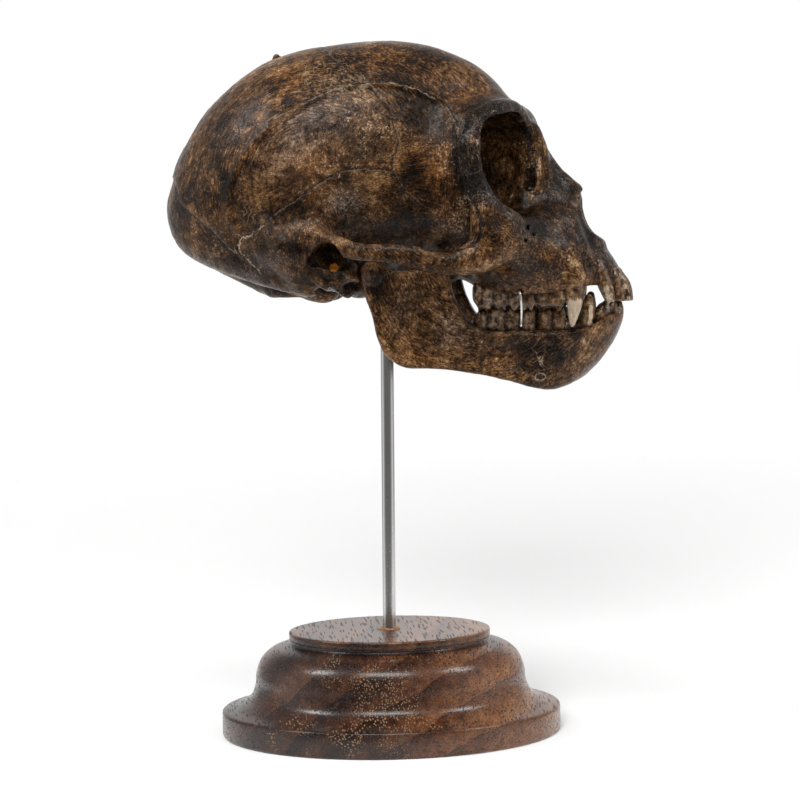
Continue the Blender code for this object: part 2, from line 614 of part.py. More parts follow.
# Turned base: its profile from the top's edge down to the foot, as (radius, height)
EDGE_CHAMFER = 0.5
BASE_PROFILE = [
    (BASE_TOP_RADIUS - EDGE_CHAMFER, BASE_HEIGHT), (BASE_TOP_RADIUS, BASE_HEIGHT - EDGE_CHAMFER),
    (BASE_TOP_RADIUS, 21.3), (24.6, 20.7), (27.4, 19.6), (29.7, 17.5), (30.9, 14.4), (31.2, 11.6),
    (32.4, 8.8), (35.2, 6.9), (BASE_RADIUS - 0.4, BASE_RIM_HEIGHT + 0.6),
    (BASE_RADIUS, BASE_RIM_HEIGHT - 0.2), (BASE_RADIUS, EDGE_CHAMFER), (BASE_RADIUS - EDGE_CHAMFER, 0.0),
]
BASE_SIDES = 48


def base_mesh(name):
    mesh = bpy.data.meshes.new(name)
    build = bmesh.new()
    rings = []
    for radius, height in BASE_PROFILE:
        ring = []
        for i in range(BASE_SIDES):
            turn = 2 * math.pi * i / BASE_SIDES
            x, y = radius * math.cos(turn), radius * math.sin(turn)
            ring.append(build.verts.new((x * MM, y * MM, height * MM)))
        rings.append(ring)
    for upper, lower in zip(rings, rings[1:]):
        for i in range(BASE_SIDES):
            j = (i + 1) % BASE_SIDES
            build.faces.new((upper[i], lower[i], lower[j], upper[j]))
    build.faces.new(rings[0])
    build.faces.new(rings[-1][::-1])
    build.to_mesh(mesh)
    build.free()
    mesh.shade_smooth()
    mesh.set_sharp_from_angle(angle=SHARP_ANGLE)
    return mesh


def wire_curve(name, side, finish):
    """A staple of wire: into the upper jaw's hole, down outside the teeth, into the lower jaw's hole."""
    inside = WIRE_TOP_OUT - WIRE_BITE
    low_inside = WIRE_BOTTOM_OUT - WIRE_BITE
    mid_z = (WIRE_TOP_Z + WIRE_BOTTOM_Z) / 2
    mid_out = (WIRE_TOP_OUT + WIRE_BOTTOM_OUT) / 2
    corner = WIRE_DIAMETER
    route = [
        (WIRE_X, inside, WIRE_TOP_Z), (WIRE_X, WIRE_TOP_OUT - 2 * corner, WIRE_TOP_Z),
        (WIRE_X, WIRE_TOP_OUT - corner / 2, WIRE_TOP_Z - corner / 2),
        (WIRE_X, WIRE_TOP_OUT, WIRE_TOP_Z - WIRE_STRETCH), (WIRE_X, mid_out, mid_z),
        (WIRE_X, WIRE_BOTTOM_OUT, WIRE_BOTTOM_Z + WIRE_STRETCH),
        (WIRE_X, WIRE_BOTTOM_OUT - corner / 2, WIRE_BOTTOM_Z + corner / 2),
        (WIRE_X, WIRE_BOTTOM_OUT - 2 * corner, WIRE_BOTTOM_Z), (WIRE_X, low_inside, WIRE_BOTTOM_Z),
    ]
    points = smooth_curve(route, 1)
    curve = bpy.data.curves.new(name, "CURVE")
    curve.dimensions = "3D"
    curve.bevel_depth = WIRE_DIAMETER / 2 * MM
    curve.bevel_resolution = 1
    curve.use_fill_caps = True
    spline = curve.splines.new("POLY")
    spline.points.add(len(points) - 1)
    for spot, (x, y, z) in zip(spline.points, points):
        spot.co = (x * MM, side * y * MM, z * MM, 1.0)
    curve.materials.append(finish)
    obj = bpy.data.objects.new(name, curve)
    bpy.context.scene.collection.objects.link(obj)
    return obj


def wire_hole(name, side, z, inner, finish):
    radius = WIRE_DIAMETER / 2 + FIT_GAP
    return bar(name, (WIRE_X, side * inner, z), (WIRE_X, side * WIRE_HOLE_MOUTH, z), radius, finish, WIRE_HOLE_SIDES)


def main():
    for obj in list(bpy.data.objects):
        bpy.data.objects.remove(obj, do_unlink=True)

    bone = material("dark stained bone", (0.12, 0.065, 0.035), 0.42)
    jaw_bone = material("dark stained jaw bone", (0.10, 0.055, 0.032), 0.42)
    steel = material("brushed steel", (0.52, 0.52, 0.50), 0.32, 1.0)
    wire_steel = material("bright wire", (0.75, 0.74, 0.72), 0.3, 1.0)
    walnut = material("walnut", (0.13, 0.055, 0.03), 0.35)

    cranium = stand("cranium", cranium_clay(SKULL_STEP).mesh("cranium"), bone)
    thin_out(cranium, CRANIUM_FACES)
    mandible = stand("mandible", mandible_clay(JAW_STEP).mesh("mandible"), jaw_bone)
    thin_out(mandible, MANDIBLE_FACES)

    base = stand("base", base_mesh("base"), walnut)
    bar("rod", rod_point(ROD_FOOT_Z), rod_point(ROD_TOP_Z), ROD_DIAMETER / 2, steel)
    hole_radius = ROD_DIAMETER / 2 + FIT_GAP
    foot, foot_mouth = rod_point(ROD_FOOT_Z - FIT_GAP), rod_point(BASE_HEIGHT + ROD_DIAMETER)
    drill(base, bar("rod hole in the base", foot, foot_mouth, hole_radius, walnut))
    top, top_mouth = rod_point(ROD_TOP_Z + FIT_GAP), rod_point(ROD_ENTRY_Z)
    drill(cranium, bar("rod hole in the skull", top_mouth, top, hole_radius, bone))

    upper_end = WIRE_TOP_OUT - WIRE_BITE - FIT_GAP
    lower_end = WIRE_BOTTOM_OUT - WIRE_BITE - FIT_GAP
    for side, name in ((-1, "right"), (1, "left")):
        wire_curve("jaw_wire_" + name, side, wire_steel)
        drill(cranium, wire_hole("upper wire hole " + name, side, WIRE_TOP_Z, upper_end, bone))
        drill(mandible, wire_hole("lower wire hole " + name, side, WIRE_BOTTOM_Z, lower_end, jaw_bone))


main()
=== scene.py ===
"""Vervet monkey skull on a turned walnut stand, with the finish of every surface: a Blender 4.5 script.

Lengths are in millimetres until a mesh is made, which is in metres. +Z is up, +X is the way the face looks,
and the skull's own right side is -Y, towards the camera.
"""

import math

import bmesh
import bpy
import numpy as np
import openvdb
from mathutils import Matrix, Vector, noise

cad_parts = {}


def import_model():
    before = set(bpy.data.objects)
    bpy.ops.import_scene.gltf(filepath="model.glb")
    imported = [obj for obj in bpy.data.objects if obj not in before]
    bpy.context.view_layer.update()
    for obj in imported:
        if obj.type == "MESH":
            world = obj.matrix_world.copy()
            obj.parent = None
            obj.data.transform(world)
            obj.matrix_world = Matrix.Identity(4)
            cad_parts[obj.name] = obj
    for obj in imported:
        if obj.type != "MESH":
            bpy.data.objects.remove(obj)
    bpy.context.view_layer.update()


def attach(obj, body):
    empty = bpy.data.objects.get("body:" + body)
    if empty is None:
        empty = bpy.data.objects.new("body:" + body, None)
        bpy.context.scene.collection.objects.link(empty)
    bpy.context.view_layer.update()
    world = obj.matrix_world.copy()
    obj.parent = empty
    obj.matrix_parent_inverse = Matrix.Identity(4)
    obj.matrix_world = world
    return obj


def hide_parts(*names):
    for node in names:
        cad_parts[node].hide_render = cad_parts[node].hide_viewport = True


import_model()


# Studio: a white floor, glowing with distance, that runs on into a white room. The room is dim behind the
# camera, so steel and polished bone show a dark middle between bright edges. Four soft rectangular lights
# fall on the skull, and a low one on the floor alone, for the long soft shadow.
MM = 0.001
VIEW_TURN = math.radians(5.0)
VIEW_TILT = math.radians(3.55)
VIEW_ROLL = math.radians(1.35)
VIEW_DISTANCE = 703.0
VIEW_CENTRE_ACROSS = 3.694
VIEW_CENTRE_Z = 76.405
LENS = 137.7
LIT_CENTRE = Vector((0.0, 0.0, 85.0))
ROOM_WHITE = (1.0, 1.0, 1.0)
FRONT_DIM = 0.17
ROOM_BRIGHT = 0.85
CLIP_END = 20.0
FLOOR_RADIUS = 1800.0
FLOOR_SIDES = 96
FLOOR_DROP = 0.05
FLOOR_MIDDLE = (0.0, 350.0, 0.0)
FLOOR_GREY = (0.36, 0.36, 0.36)
HAZE_NEAR = (0.17, 0.17, 0.17)
HAZE_FAR = (0.68, 0.68, 0.68)


class Socket:
    """One output in a node tree. Sums and products of sockets add the Math nodes that work them out."""

    def __init__(self, tree, output=None):
        self.tree = tree
        self.output = output

    def node(self, kind, settings=None, inputs=None, output=0):
        """Adds a node of any kind: its settings first, then the values or links of its sockets."""
        made = self.tree.nodes.new("ShaderNode" + kind)
        for name, value in (settings or {}).items():
            if name == "stops":
                ramp = made.color_ramp
                while len(ramp.elements) < len(value):
                    ramp.elements.new(1.0)
                for stop, (place, colour) in zip(ramp.elements, value):
                    stop.position = place
                    stop.color = (*colour, 1.0)
            else:
                setattr(made, name, value)
        for name, value in (inputs or {}).items():
            if isinstance(value, Socket):
                self.tree.links.new(value.output, made.inputs[name])
            elif made.inputs[name].type == "RGBA":
                made.inputs[name].default_value = (*value, 1.0)
            else:
                made.inputs[name].default_value = value
        return Socket(self.tree, made.outputs[output] if len(made.outputs) else None)

    def maths(self, operation, *values):
        return self.node("Math", {"operation": operation}, dict(enumerate(values)))

    def __add__(self, other):
        return self.maths("ADD", self, other)

    def __radd__(self, other):
        return self.maths("ADD", other, self)

    def __sub__(self, other):
        return self.maths("SUBTRACT", self, other)

    def __rsub__(self, other):
        return self.maths("SUBTRACT", other, self)

    def __mul__(self, other):
        return self.maths("MULTIPLY", self, other)

    def __rmul__(self, other):
        return self.maths("MULTIPLY", other, self)

    def __truediv__(self, other):
        return self.maths("DIVIDE", self, other)

    def __abs__(self):
        return self.maths("ABSOLUTE", self)

    def between(self, low, high):
        """Nought at low, one at high, with soft ends. Low may be the greater of the two."""
        limits = {"Value": self, "From Min": low, "From Max": high}
        return self.node("MapRange", {"interpolation_type": "SMOOTHSTEP"}, limits)

    def colour(self, factor, under, over, blend="MIX"):
        """Over laid on under by factor. Each is a colour or a socket that holds one."""
        return self.node("Mix", {"data_type": "RGBA", "blend_type": blend}, {0: factor, 6: under, 7: over}, 2)

    def ramp(self, *stops):
        """The colour that this value picks from stops of (place, colour)."""
        return self.node("ValToRGB", {"stops": stops}, {"Fac": self})

    def part(self, axis):
        return self.node("SeparateXYZ", {}, {0: self}, axis)

    def vector(self, operation, other):
        return self.node("VectorMath", {"operation": operation}, {0: self, 1: other})

    def length(self):
        return self.node("VectorMath", {"operation": "LENGTH"}, {0: self}, "Value")

    def place_in_mm(self):
        spot = self.node("TexCoord", {}, {}, "Object")
        return self.node("VectorMath", {"operation": "SCALE"}, {0: spot, "Scale": 1 / MM})

    def speckle(self, size, detail=3.0, roughness=0.55):
        """Cloudy noise over these places, with lumps about this many millimetres across."""
        inputs = {"Vector": self, "Scale": 1 / size, "Detail": detail, "Roughness": roughness}
        return self.node("TexNoise", {}, inputs)

    def laid(self, sizes, turn=(0.0, 0.0, 0.0)):
        """These places turned to lie along a grain and divided by the grain's length each way."""
        inputs = {"Vector": self, "Rotation": tuple(math.radians(t) for t in turn), "Scale": sizes}
        return self.node("Mapping", {"vector_type": "TEXTURE"}, inputs)

    def grain(self, sizes, turn=(0.0, 0.0, 0.0), detail=3.0, roughness=0.6):
        """Noise drawn out along a grain, with lumps of these sizes each way."""
        return self.laid(sizes, turn).speckle(1.0, detail, roughness)

    def relief(self, strength, depth):
        """The surface's slope where this value is a height of so many millimetres."""
        return self.node("Bump", {}, {"Strength": strength, "Distance": depth * MM, "Height": self})

    def surface(self, inputs):
        """Ends the tree in one shader with these inputs."""
        self.node("OutputMaterial", {}, {"Surface": self.node("BsdfPrincipled", {}, inputs)})


def new_finish(name):
    made = bpy.data.materials.new(name)
    made.use_nodes = True
    made.node_tree.nodes.clear()
    return made, Socket(made.node_tree)


def placed(name, data):
    """An object for this data, put into the scene."""
    obj = bpy.data.objects.new(name, data)
    bpy.context.scene.collection.objects.link(obj)
    return obj


def towards(azimuth, elevation):
    """The way to a place round the skull. Azimuth 0 is on the side of the skull's right."""
    level = math.cos(elevation)
    return Vector((math.sin(azimuth) * level, -math.cos(azimuth) * level, math.sin(elevation)))


back = towards(VIEW_TURN, VIEW_TILT)
across = Vector((math.cos(VIEW_TURN), math.sin(VIEW_TURN), 0.0))
upright = back.cross(across)
camera_right = across * math.cos(VIEW_ROLL) - upright * math.sin(VIEW_ROLL)
camera_up = upright * math.cos(VIEW_ROLL) + across * math.sin(VIEW_ROLL)
camera = placed("camera", bpy.data.cameras.new("camera"))
camera.data.lens = LENS
camera.data.clip_end = CLIP_END
turn = Matrix((camera_right, camera_up, back)).transposed().to_4x4()
stand_off = across * VIEW_CENTRE_ACROSS + Vector((0, 0, VIEW_CENTRE_Z)) + back * VIEW_DISTANCE
camera.matrix_world = Matrix.Translation(stand_off * MM) @ turn
bpy.context.scene.camera = camera
bpy.context.scene.view_settings.view_transform = "Standard"

room = bpy.data.worlds.new("room")
room.use_nodes = True
room.node_tree.nodes.clear()
air = Socket(room.node_tree)
direction = air.node("TexCoord", {}, {}, "Generated")
inwards = direction.part("Y")
gap_beside_paper = inwards.between(0.15, 0.40) * inwards.between(0.95, 0.75)
behind = inwards.between(-0.7, 0.0) * (1 - 0.7 * gap_beside_paper)
overhead = direction.part("Z").between(0.2, 0.8)
glow = FRONT_DIM + (ROOM_BRIGHT - FRONT_DIM) * behind * (1 - 0.65 * overhead)
seen = air.node("LightPath", {}, {}, "Is Camera Ray")
glow = seen.maths("MAXIMUM", glow, seen)
air.node("OutputWorld", {}, {"Surface": air.node("Background", {}, {"Color": ROOM_WHITE, "Strength": glow})})
bpy.context.scene.world = room


def soft_light(name, azimuth, elevation, distance, wide, tall, power, glossy=True):
    """A flat soft light turned to the middle of the skull, placed by angles in degrees."""
    way = towards(math.radians(azimuth), math.radians(elevation))
    lamp = bpy.data.lights.new(name, "AREA")
    lamp.shape = "RECTANGLE"
    lamp.size = wide * MM
    lamp.size_y = tall * MM
    lamp.energy = power
    obj = placed(name, lamp)
    obj.location = (LIT_CENTRE + way * distance) * MM
    obj.rotation_euler = way.to_track_quat("Z", "Y").to_euler()
    obj.visible_glossy = glossy
    return obj


soft_light("soft light in front", azimuth=0, elevation=55, distance=1100, wide=640, tall=260, power=6.2)
soft_light("soft light at the left", azimuth=-76, elevation=44, distance=1100, wide=300, tall=300, power=4.0)
soft_light("soft light at the right", azimuth=84, elevation=44, distance=1100, wide=320, tall=300, power=3.2)
soft_light("low fill", azimuth=-2, elevation=16, distance=1500, wide=500, tall=500, power=3.6, glossy=False)

build = bmesh.new()
bmesh.ops.create_circle(build, cap_ends=True, segments=FLOOR_SIDES, radius=FLOOR_RADIUS * MM)
floor_mesh = bpy.data.meshes.new("floor")
build.to_mesh(floor_mesh)
build.free()
floor = placed("floor", floor_mesh)
white, paint = new_finish("white floor")
at = paint.place_in_mm()
haze = paint.colour(at.length().between(60, 1250), HAZE_NEAR, HAZE_FAR)
from_middle = at.vector("SUBTRACT", FLOOR_MIDDLE).length()
beside = abs(at.part("X") - 20.0)
seen_floor = from_middle.between(900, 550) * at.part("Y").between(-150, -95) * beside.between(300, 200)
paint.surface({
    "Base Color": FLOOR_GREY, "Roughness": 0.9, "Emission Color": haze, "Emission Strength": 1.0,
    "Specular IOR Level": 0.0, "Alpha": seen_floor,
})
floor_mesh.materials.append(white)
floor.location.z = -FLOOR_DROP * MM
floor_only = bpy.data.collections.new("floor only")
floor_only.objects.link(floor)
floor_light = soft_light(
    "low light on the floor", azimuth=-1.3, elevation=13.8, distance=4000, wide=1200, tall=1600, power=530,
)
floor_light.light_linking.receiver_collection = floor_only


# Base: one block of walnut, turned on the lathe with a raised round top, a bell and a flat rim, then oiled.
# The board's grain runs from front to back, so the front shows end grain with its growth rings and open
# pores as dots, and the top shows the same pores cut lengthwise as dashes.
BASE_RADIUS = 39.0
BASE_RIM_HEIGHT = 5.3
BASE_HEIGHT = 23.6
BASE_TOP_RADIUS = 23.2
BASE_EDGE = 0.35
BASE_SIDES = 160
BELL_STEPS = 5
BASE_TOP_EDGE = [
    (0.0, BASE_HEIGHT), (8.0, BASE_HEIGHT), (16.0, BASE_HEIGHT), (BASE_TOP_RADIUS - 1.4, BASE_HEIGHT),
    (BASE_TOP_RADIUS - BASE_EDGE, BASE_HEIGHT), (BASE_TOP_RADIUS - 0.1, BASE_HEIGHT - 0.1),
    (BASE_TOP_RADIUS, BASE_HEIGHT - BASE_EDGE), (BASE_TOP_RADIUS, 22.6), (BASE_TOP_RADIUS, 21.9),
    (BASE_TOP_RADIUS - 0.35, 21.35),
]
BASE_BELL = [
    (BASE_TOP_RADIUS + 0.1, 21.0), (24.8, 20.55), (27.4, 19.6), (29.7, 17.5), (30.9, 14.4), (31.2, 11.6),
    (32.4, 8.8), (35.2, 6.9), (BASE_RADIUS - 1.2, BASE_RIM_HEIGHT + 0.75),
]
BASE_RIM = [
    (BASE_RADIUS - 0.35, BASE_RIM_HEIGHT + 0.6), (BASE_RADIUS - 0.1, BASE_RIM_HEIGHT + 0.4),
    (BASE_RADIUS, BASE_RIM_HEIGHT), (BASE_RADIUS, 3.0), (BASE_RADIUS, 0.7), (BASE_RADIUS - 0.2, 0.2),
    (BASE_RADIUS - 0.5, 0.0), (20.0, 0.0), (0.0, 0.0),
]
WOOD_HEART = (57.0, 0.0, -74.0)
WOOD_TURN = (0.0, 0.0, 9.0)
RING_WIDTH = 7.5
PORE_LENGTH = 9.0
PORE_SPACING = 0.50
PALE_PORES = (-5.0, -34.0, 11.0)
PALE_PORES_REACH = (24.0, 24.0, 14.0)


def smooth_curve(points, steps, closed=False):
    """A Catmull-Rom curve through the points, with this many steps between each pair."""
    points = np.array(points, float)
    if closed:
        padded = np.vstack([points[-1], points, points[:2]])
    else:
        padded = np.vstack([2 * points[0] - points[1], points, 2 * points[-1] - points[-2]])
    made = []
    for a, b, c, d in zip(padded, padded[1:], padded[2:], padded[3:]):
        for t in np.arange(steps) / steps:
            made.append(0.5 * (2 * b + (c - a) * t + (2 * a - 5 * b + 4 * c - d) * t * t
                               + (3 * b - a - 3 * c + d) * t ** 3))
    if not closed:
        made.append(points[-1])
    return np.array(made)


def stand(name, data, finish, slot, *nodes):
    """Sets a finished mesh or curve in place of its CAD nodes."""
    if isinstance(data, bpy.types.Mesh):
        data.shade_smooth()
    data.materials.append(finish)
    obj = placed(name, data)
    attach(obj, "root")
    if nodes:
        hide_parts(*nodes)


def turned(name, profile, sides):
    """A body turned about the upright axis, from a profile that starts and ends on the axis."""
    mesh = bpy.data.meshes.new(name)
    build = bmesh.new()
    turns = 2 * math.pi * np.arange(sides) / sides
    rings = []
    for radius, height in profile[1:-1]:
        spots = [(radius * math.cos(t) * MM, radius * math.sin(t) * MM, height * MM) for t in turns]
        rings.append([build.verts.new(spot) for spot in spots])
    top = build.verts.new((0, 0, profile[0][1] * MM))
    foot = build.verts.new((0, 0, profile[-1][1] * MM))
    for i in range(sides):
        j = (i + 1) % sides
        build.faces.new((top, rings[0][i], rings[0][j]))
        build.faces.new((foot, rings[-1][j], rings[-1][i]))
        for upper, lower in zip(rings, rings[1:]):
            build.faces.new((upper[i], lower[i], lower[j], upper[j]))
    build.to_mesh(mesh)
    build.free()
    return mesh


walnut, paint = new_finish("oiled walnut")
at = paint.place_in_mm()
wander = at.speckle(26, 2.0)
fine_wander = at.grain((3.0, 20.0, 3.0), WOOD_TURN, roughness=0.55)
from_heart = at.vector("SUBTRACT", WOOD_HEART)
depth = from_heart.vector("MULTIPLY", (1.0, 0.12, 1.0)).length()
growth = (depth + 7.0 * wander + 1.2 * fine_wander) / RING_WIDTH
ring = growth.maths("FRACT", growth)
late_wood = ring.between(0.25, 0.85) * ring.between(1.0, 0.93)
ring_line = ring.between(0.90, 0.97) * ring.between(1.0, 0.98)
pore_at = at.laid((PORE_SPACING, PORE_LENGTH, PORE_SPACING), WOOD_TURN)
pore_gap = paint.node("TexVoronoi", {"feature": "F1"}, {"Vector": pore_at, "Scale": 1.0}, "Distance")
pore_wide = 0.18 + 0.23 * at.speckle(3.5, 3.0)
pore = pore_gap.between(pore_wide + 0.08, pore_wide - 0.05)
streak = at.grain((0.30, 7.0, 0.30), WOOD_TURN, 4.0, 0.75)
figure = at.grain((2.2, 26.0, 2.2), WOOD_TURN)
mottle = at.speckle(16.0, 3.0, 0.6)
lighter = at.part("X").between(-8.0, 38.0)
height = at.part("Z")
raised_top = height.between(23.1, 23.45)
groove = height.between(20.6, 21.0) * height.between(21.9, 21.4)
rim_part = height.between(6.4, 5.6)
tone = 0.235 + 0.36 * lighter - 0.04 * rim_part - 0.15 * late_wood * (0.4 + mottle) - 0.10 * ring_line
tone = tone + 1.0 * (streak - 0.5) + 0.45 * (mottle - 0.5) + 0.5 * (figure - 0.5)
# The top face is painted lighter, a painted sheen, and the small cove under the lip is painted darker, a
# painted shade.
tone = tone + 0.19 * raised_top - 0.25 * groove
wood = tone.ramp(
    (0.0, (0.008, 0.003, 0.0015)), (0.22, (0.042, 0.014, 0.006)), (0.42, (0.130, 0.048, 0.019)),
    (0.65, (0.270, 0.118, 0.048)), (1.0, (0.480, 0.260, 0.125)),
)
# The pores are mostly pale round the front of the bell, and less often pale on the top face.
front = at.vector("SUBTRACT", PALE_PORES).laid(PALE_PORES_REACH).length()
pore_paleness = at.speckle(9.0, 2.0) + 0.16 * front.between(1.2, 0.3) - 0.10 * raised_top
pore_colour = paint.colour(pore_paleness.between(0.55, 0.69), (0.007, 0.004, 0.003), (0.27, 0.165, 0.085))
paint.surface({
    "Base Color": paint.colour(pore * 0.92, wood, pore_colour),
    "Roughness": 0.17 + 0.14 * streak + 0.18 * pore, "IOR": 1.5, "Specular IOR Level": 0.5,
    "Normal": (0.35 * streak - 1.2 * pore + 0.2 * fine_wander).relief(0.8, 0.05),
})

bell = smooth_curve(BASE_BELL, BELL_STEPS)
base_profile = BASE_TOP_EDGE + [tuple(point) for point in bell] + BASE_RIM
stand("turned_base", turned("turned_base", base_profile, BASE_SIDES), walnut, "walnut", "base")


# Rod: a straight length of bright drawn steel bar. Its foot is glued in the base and its top in the skull,
# and it leans a little towards the face.
ROD_DIAMETER = 3.0
ROD_LEAN = math.radians(0.9)
ROD_FOOT_Z = 11.0
ROD_TOP_Z = 112.0
ROD_SIDES = 64
ROD_CHAMFER = 0.25


def rod_point(z):
    """The rod's middle line, in millimetres."""
    return Vector((math.tan(ROD_LEAN) * (z - BASE_HEIGHT), 0.0, z))


steel, paint = new_finish("drawn steel")
at = paint.place_in_mm()
drawn = at.grain((0.16, 0.16, 40.0), (0.0, math.degrees(ROD_LEAN), 0.0))
smear = at.speckle(5.0, 3.0, 0.6)
paint.surface({
    "Base Color": paint.colour(drawn, (0.46, 0.455, 0.445), (0.80, 0.79, 0.775)), "Metallic": 1.0,
    "Roughness": 0.10 + 0.14 * drawn + 0.08 * smear, "Normal": drawn.relief(0.18, 0.02),
})

rod_length = (rod_point(ROD_TOP_Z) - rod_point(ROD_FOOT_Z)).length
rod_radius = ROD_DIAMETER / 2
# Loops close to each end keep the bar's sides straight in the light
near_end = [i * ROD_CHAMFER for i in (1, 2, 3)]
rod_profile = [(0.0, rod_length), (rod_radius - ROD_CHAMFER, rod_length)]
rod_profile += [(rod_radius, rod_length - step) for step in near_end]
rod_profile += [(rod_radius, step) for step in reversed(near_end)]
rod_profile += [(rod_radius - ROD_CHAMFER, 0.0), (0.0, 0.0)]
rod_mesh = turned("steel_rod", rod_profile, ROD_SIDES)
rod_mesh.transform(Matrix.Translation(rod_point(ROD_FOOT_Z) * MM) @ Matrix.Rotation(ROD_LEAN, 4, "Y"))
stand("steel_rod", rod_mesh, steel, "rod_steel", "rod")


# Glue: what was pressed out of the hole when the rod went in, a thin uneven ring of amber glue that has
# picked up wood dust.
GLUE_RING_RADIUS = 1.75
GLUE_THICKNESS = 0.48
GLUE_FLATNESS = 0.55
GLUE_LUMPS = Vector((4.0, 1.0, 0.0))
GLUE_TURNS = 72
GLUE_SIDES = 20

amber, paint = new_finish("amber glue")
at = paint.place_in_mm()
dust = at.speckle(0.5, 3.0, 0.6)
paint.surface({
    "Base Color": paint.colour(dust.between(0.35, 0.7), (0.20, 0.075, 0.020), (0.50, 0.29, 0.13)),
    "Roughness": 0.35 + 0.3 * dust, "Normal": dust.relief(0.7, 0.08),
})

foot = rod_point(BASE_HEIGHT)
points = []
faces = []
for i in range(GLUE_TURNS):
    turn = 2 * math.pi * i / GLUE_TURNS
    outwards = Vector((math.cos(turn), math.sin(turn), 0.0))
    lump = noise.noise(outwards * 1.7 + GLUE_LUMPS)
    thick = GLUE_THICKNESS * (0.75 + 0.8 * lump + 0.9 * abs(math.cos(turn)) ** 3)
    a, b = i * GLUE_SIDES, (i + 1) % GLUE_TURNS * GLUE_SIDES
    for j in range(GLUE_SIDES):
        side = 2 * math.pi * j / GLUE_SIDES
        out = GLUE_RING_RADIUS + thick * 0.9 * math.cos(side)
        up = Vector((0, 0, thick * GLUE_FLATNESS * math.sin(side)))
        points.append(tuple((foot + outwards * out + up) * MM))
        k = (j + 1) % GLUE_SIDES
        faces.append((a + j, b + j, b + k, a + k))
glue_mesh = bpy.data.meshes.new("glue_bead")
glue_mesh.from_pydata(points, [], faces)
stand("glue_bead", glue_mesh, amber, "walnut")


# Cranium: one fused bone, boiled clean and stained dark brown, then polished by handling. It is worked up
# like a model in clay: rounded strands and balls run together into the braincase, hollows are cut out of it,
# and seams, pits and roughness follow. Only one side is worked, and the other is its mirror image.
FAR = 6.0
CRANIUM_STEP = 0.45
CRANIUM_BOX = ((-53, 0, 90), (60, 37, 162))
CRANIUM_SWELL = (0.16, 7.0)
CRANIUM_ROUGHNESS = (0.05, 1.9)
CLAY_MARGIN = 2
LEAST_SLOPE = 0.02
CRANIUM_TRIANGLES = 185000


def smooth_min(a, b, blend):
    """The lower of two distances, with the crease between them filled over a width of blend."""
    if blend <= 0:
        return np.minimum(a, b)
    near = np.maximum(blend - np.abs(a - b), 0) / blend
    return np.minimum(a, b) - near * near * blend / 4


def smooth_max(a, b, blend):
    return -smooth_min(-a, -b, blend)


class Clay:
    """Half of a block of clay, from the midline outwards. Each grid point holds its distance to a surface."""

    def __init__(self, low, high, step):
        self.step = step
        self.low = np.array(low, float)
        self.counts = np.ceil((np.array(high) - self.low) / step).astype(int) + 1
        self.field = np.full(self.counts, FAR, np.float32)

    def window(self, low, high, margin):
        """The part of the grid round a box, as slices and as the coordinates of its points."""
        first = np.floor((np.array(low) - margin - self.low) / self.step).astype(int)
        last = np.ceil((np.array(high) + margin - self.low) / self.step).astype(int) + 1
        first = np.clip(first, 0, self.counts - 1)
        last = np.clip(last, first + 1, self.counts)
        spans = tuple(slice(a, b) for a, b in zip(first, last))
        axes = [self.low[i] + self.step * np.arange(first[i], last[i]) for i in range(3)]
        x = axes[0].astype(np.float32)[:, None, None]
        y = axes[1].astype(np.float32)[None, :, None]
        z = axes[2].astype(np.float32)[None, None, :]
        return spans, x, y, z

    def add(self, *shapes, sign=1):
        """Runs shapes into the clay. After each comes the width over which the crease round it is filled."""
        for shape, blend in zip(shapes[::2], shapes[1::2]):
            if isinstance(shape, dict):
                shape = ball(**shape)
            elif isinstance(shape, list):
                shape = limb(shape)
            distance, low, high = shape
            spans, x, y, z = self.window(low, high, blend + CLAY_MARGIN)
            self.field[spans] = sign * smooth_min(sign * self.field[spans], distance(x, y, z), blend)

    def cut(self, *shapes):
        """Cuts shapes out of the clay, each followed by the width over which its edge is rounded."""
        self.add(*shapes, sign=-1)

    def drill(self, start, end, radius, blend):
        self.cut([(*start, radius), (*end, radius)], blend)

    def at(self, spots):
        """The distance to the surface at any points, read from the grid."""
        half = np.stack([spots[:, 0], np.abs(spots[:, 1]), spots[:, 2]], axis=1)
        place = np.clip((half - self.low) / self.step, 0, self.counts - 1.001)
        first = place.astype(int)
        share = place - first
        total = np.zeros(len(spots))
        for corner in np.ndindex(2, 2, 2):
            weight = np.prod(np.where(corner, share, 1 - share), axis=1)
            total += weight * self.field[tuple((first + corner).T)]
        return total

    def mesh(self, name):
        """Both halves as one closed mesh in metres, without any loose crumbs."""
        both = np.concatenate([self.field[:, :0:-1, :], self.field], axis=1)
        grid = openvdb.FloatGrid(FAR)
        grid.copyFromArray(np.ascontiguousarray(np.clip(both, -FAR, FAR)))
        points, quads = grid.convertToQuads(isovalue=0.0)
        corner = self.low - [0, (self.counts[1] - 1) * self.step, 0]
        points = np.asarray(points, float) * self.step + corner
        quads = largest_piece(len(points), np.asarray(quads, np.int64))
        used, index = np.unique(quads, return_inverse=True)
        mesh = bpy.data.meshes.new(name)
        mesh.from_pydata(points[used] * MM, [], index.reshape(-1, 4).tolist())
        mesh.update()
        return mesh


def largest_piece(count, quads):
    """The quads of the biggest connected piece."""
    label = np.arange(count)
    while True:
        lowest = label[quads].min(axis=1)
        before = label.copy()
        for corner in range(4):
            np.minimum.at(label, quads[:, corner], lowest)
        label = label[label]
        if (label == before).all():
            break
    names, sizes = np.unique(label[quads[:, 0]], return_counts=True)
    return quads[label[quads[:, 0]] == names[sizes.argmax()]]


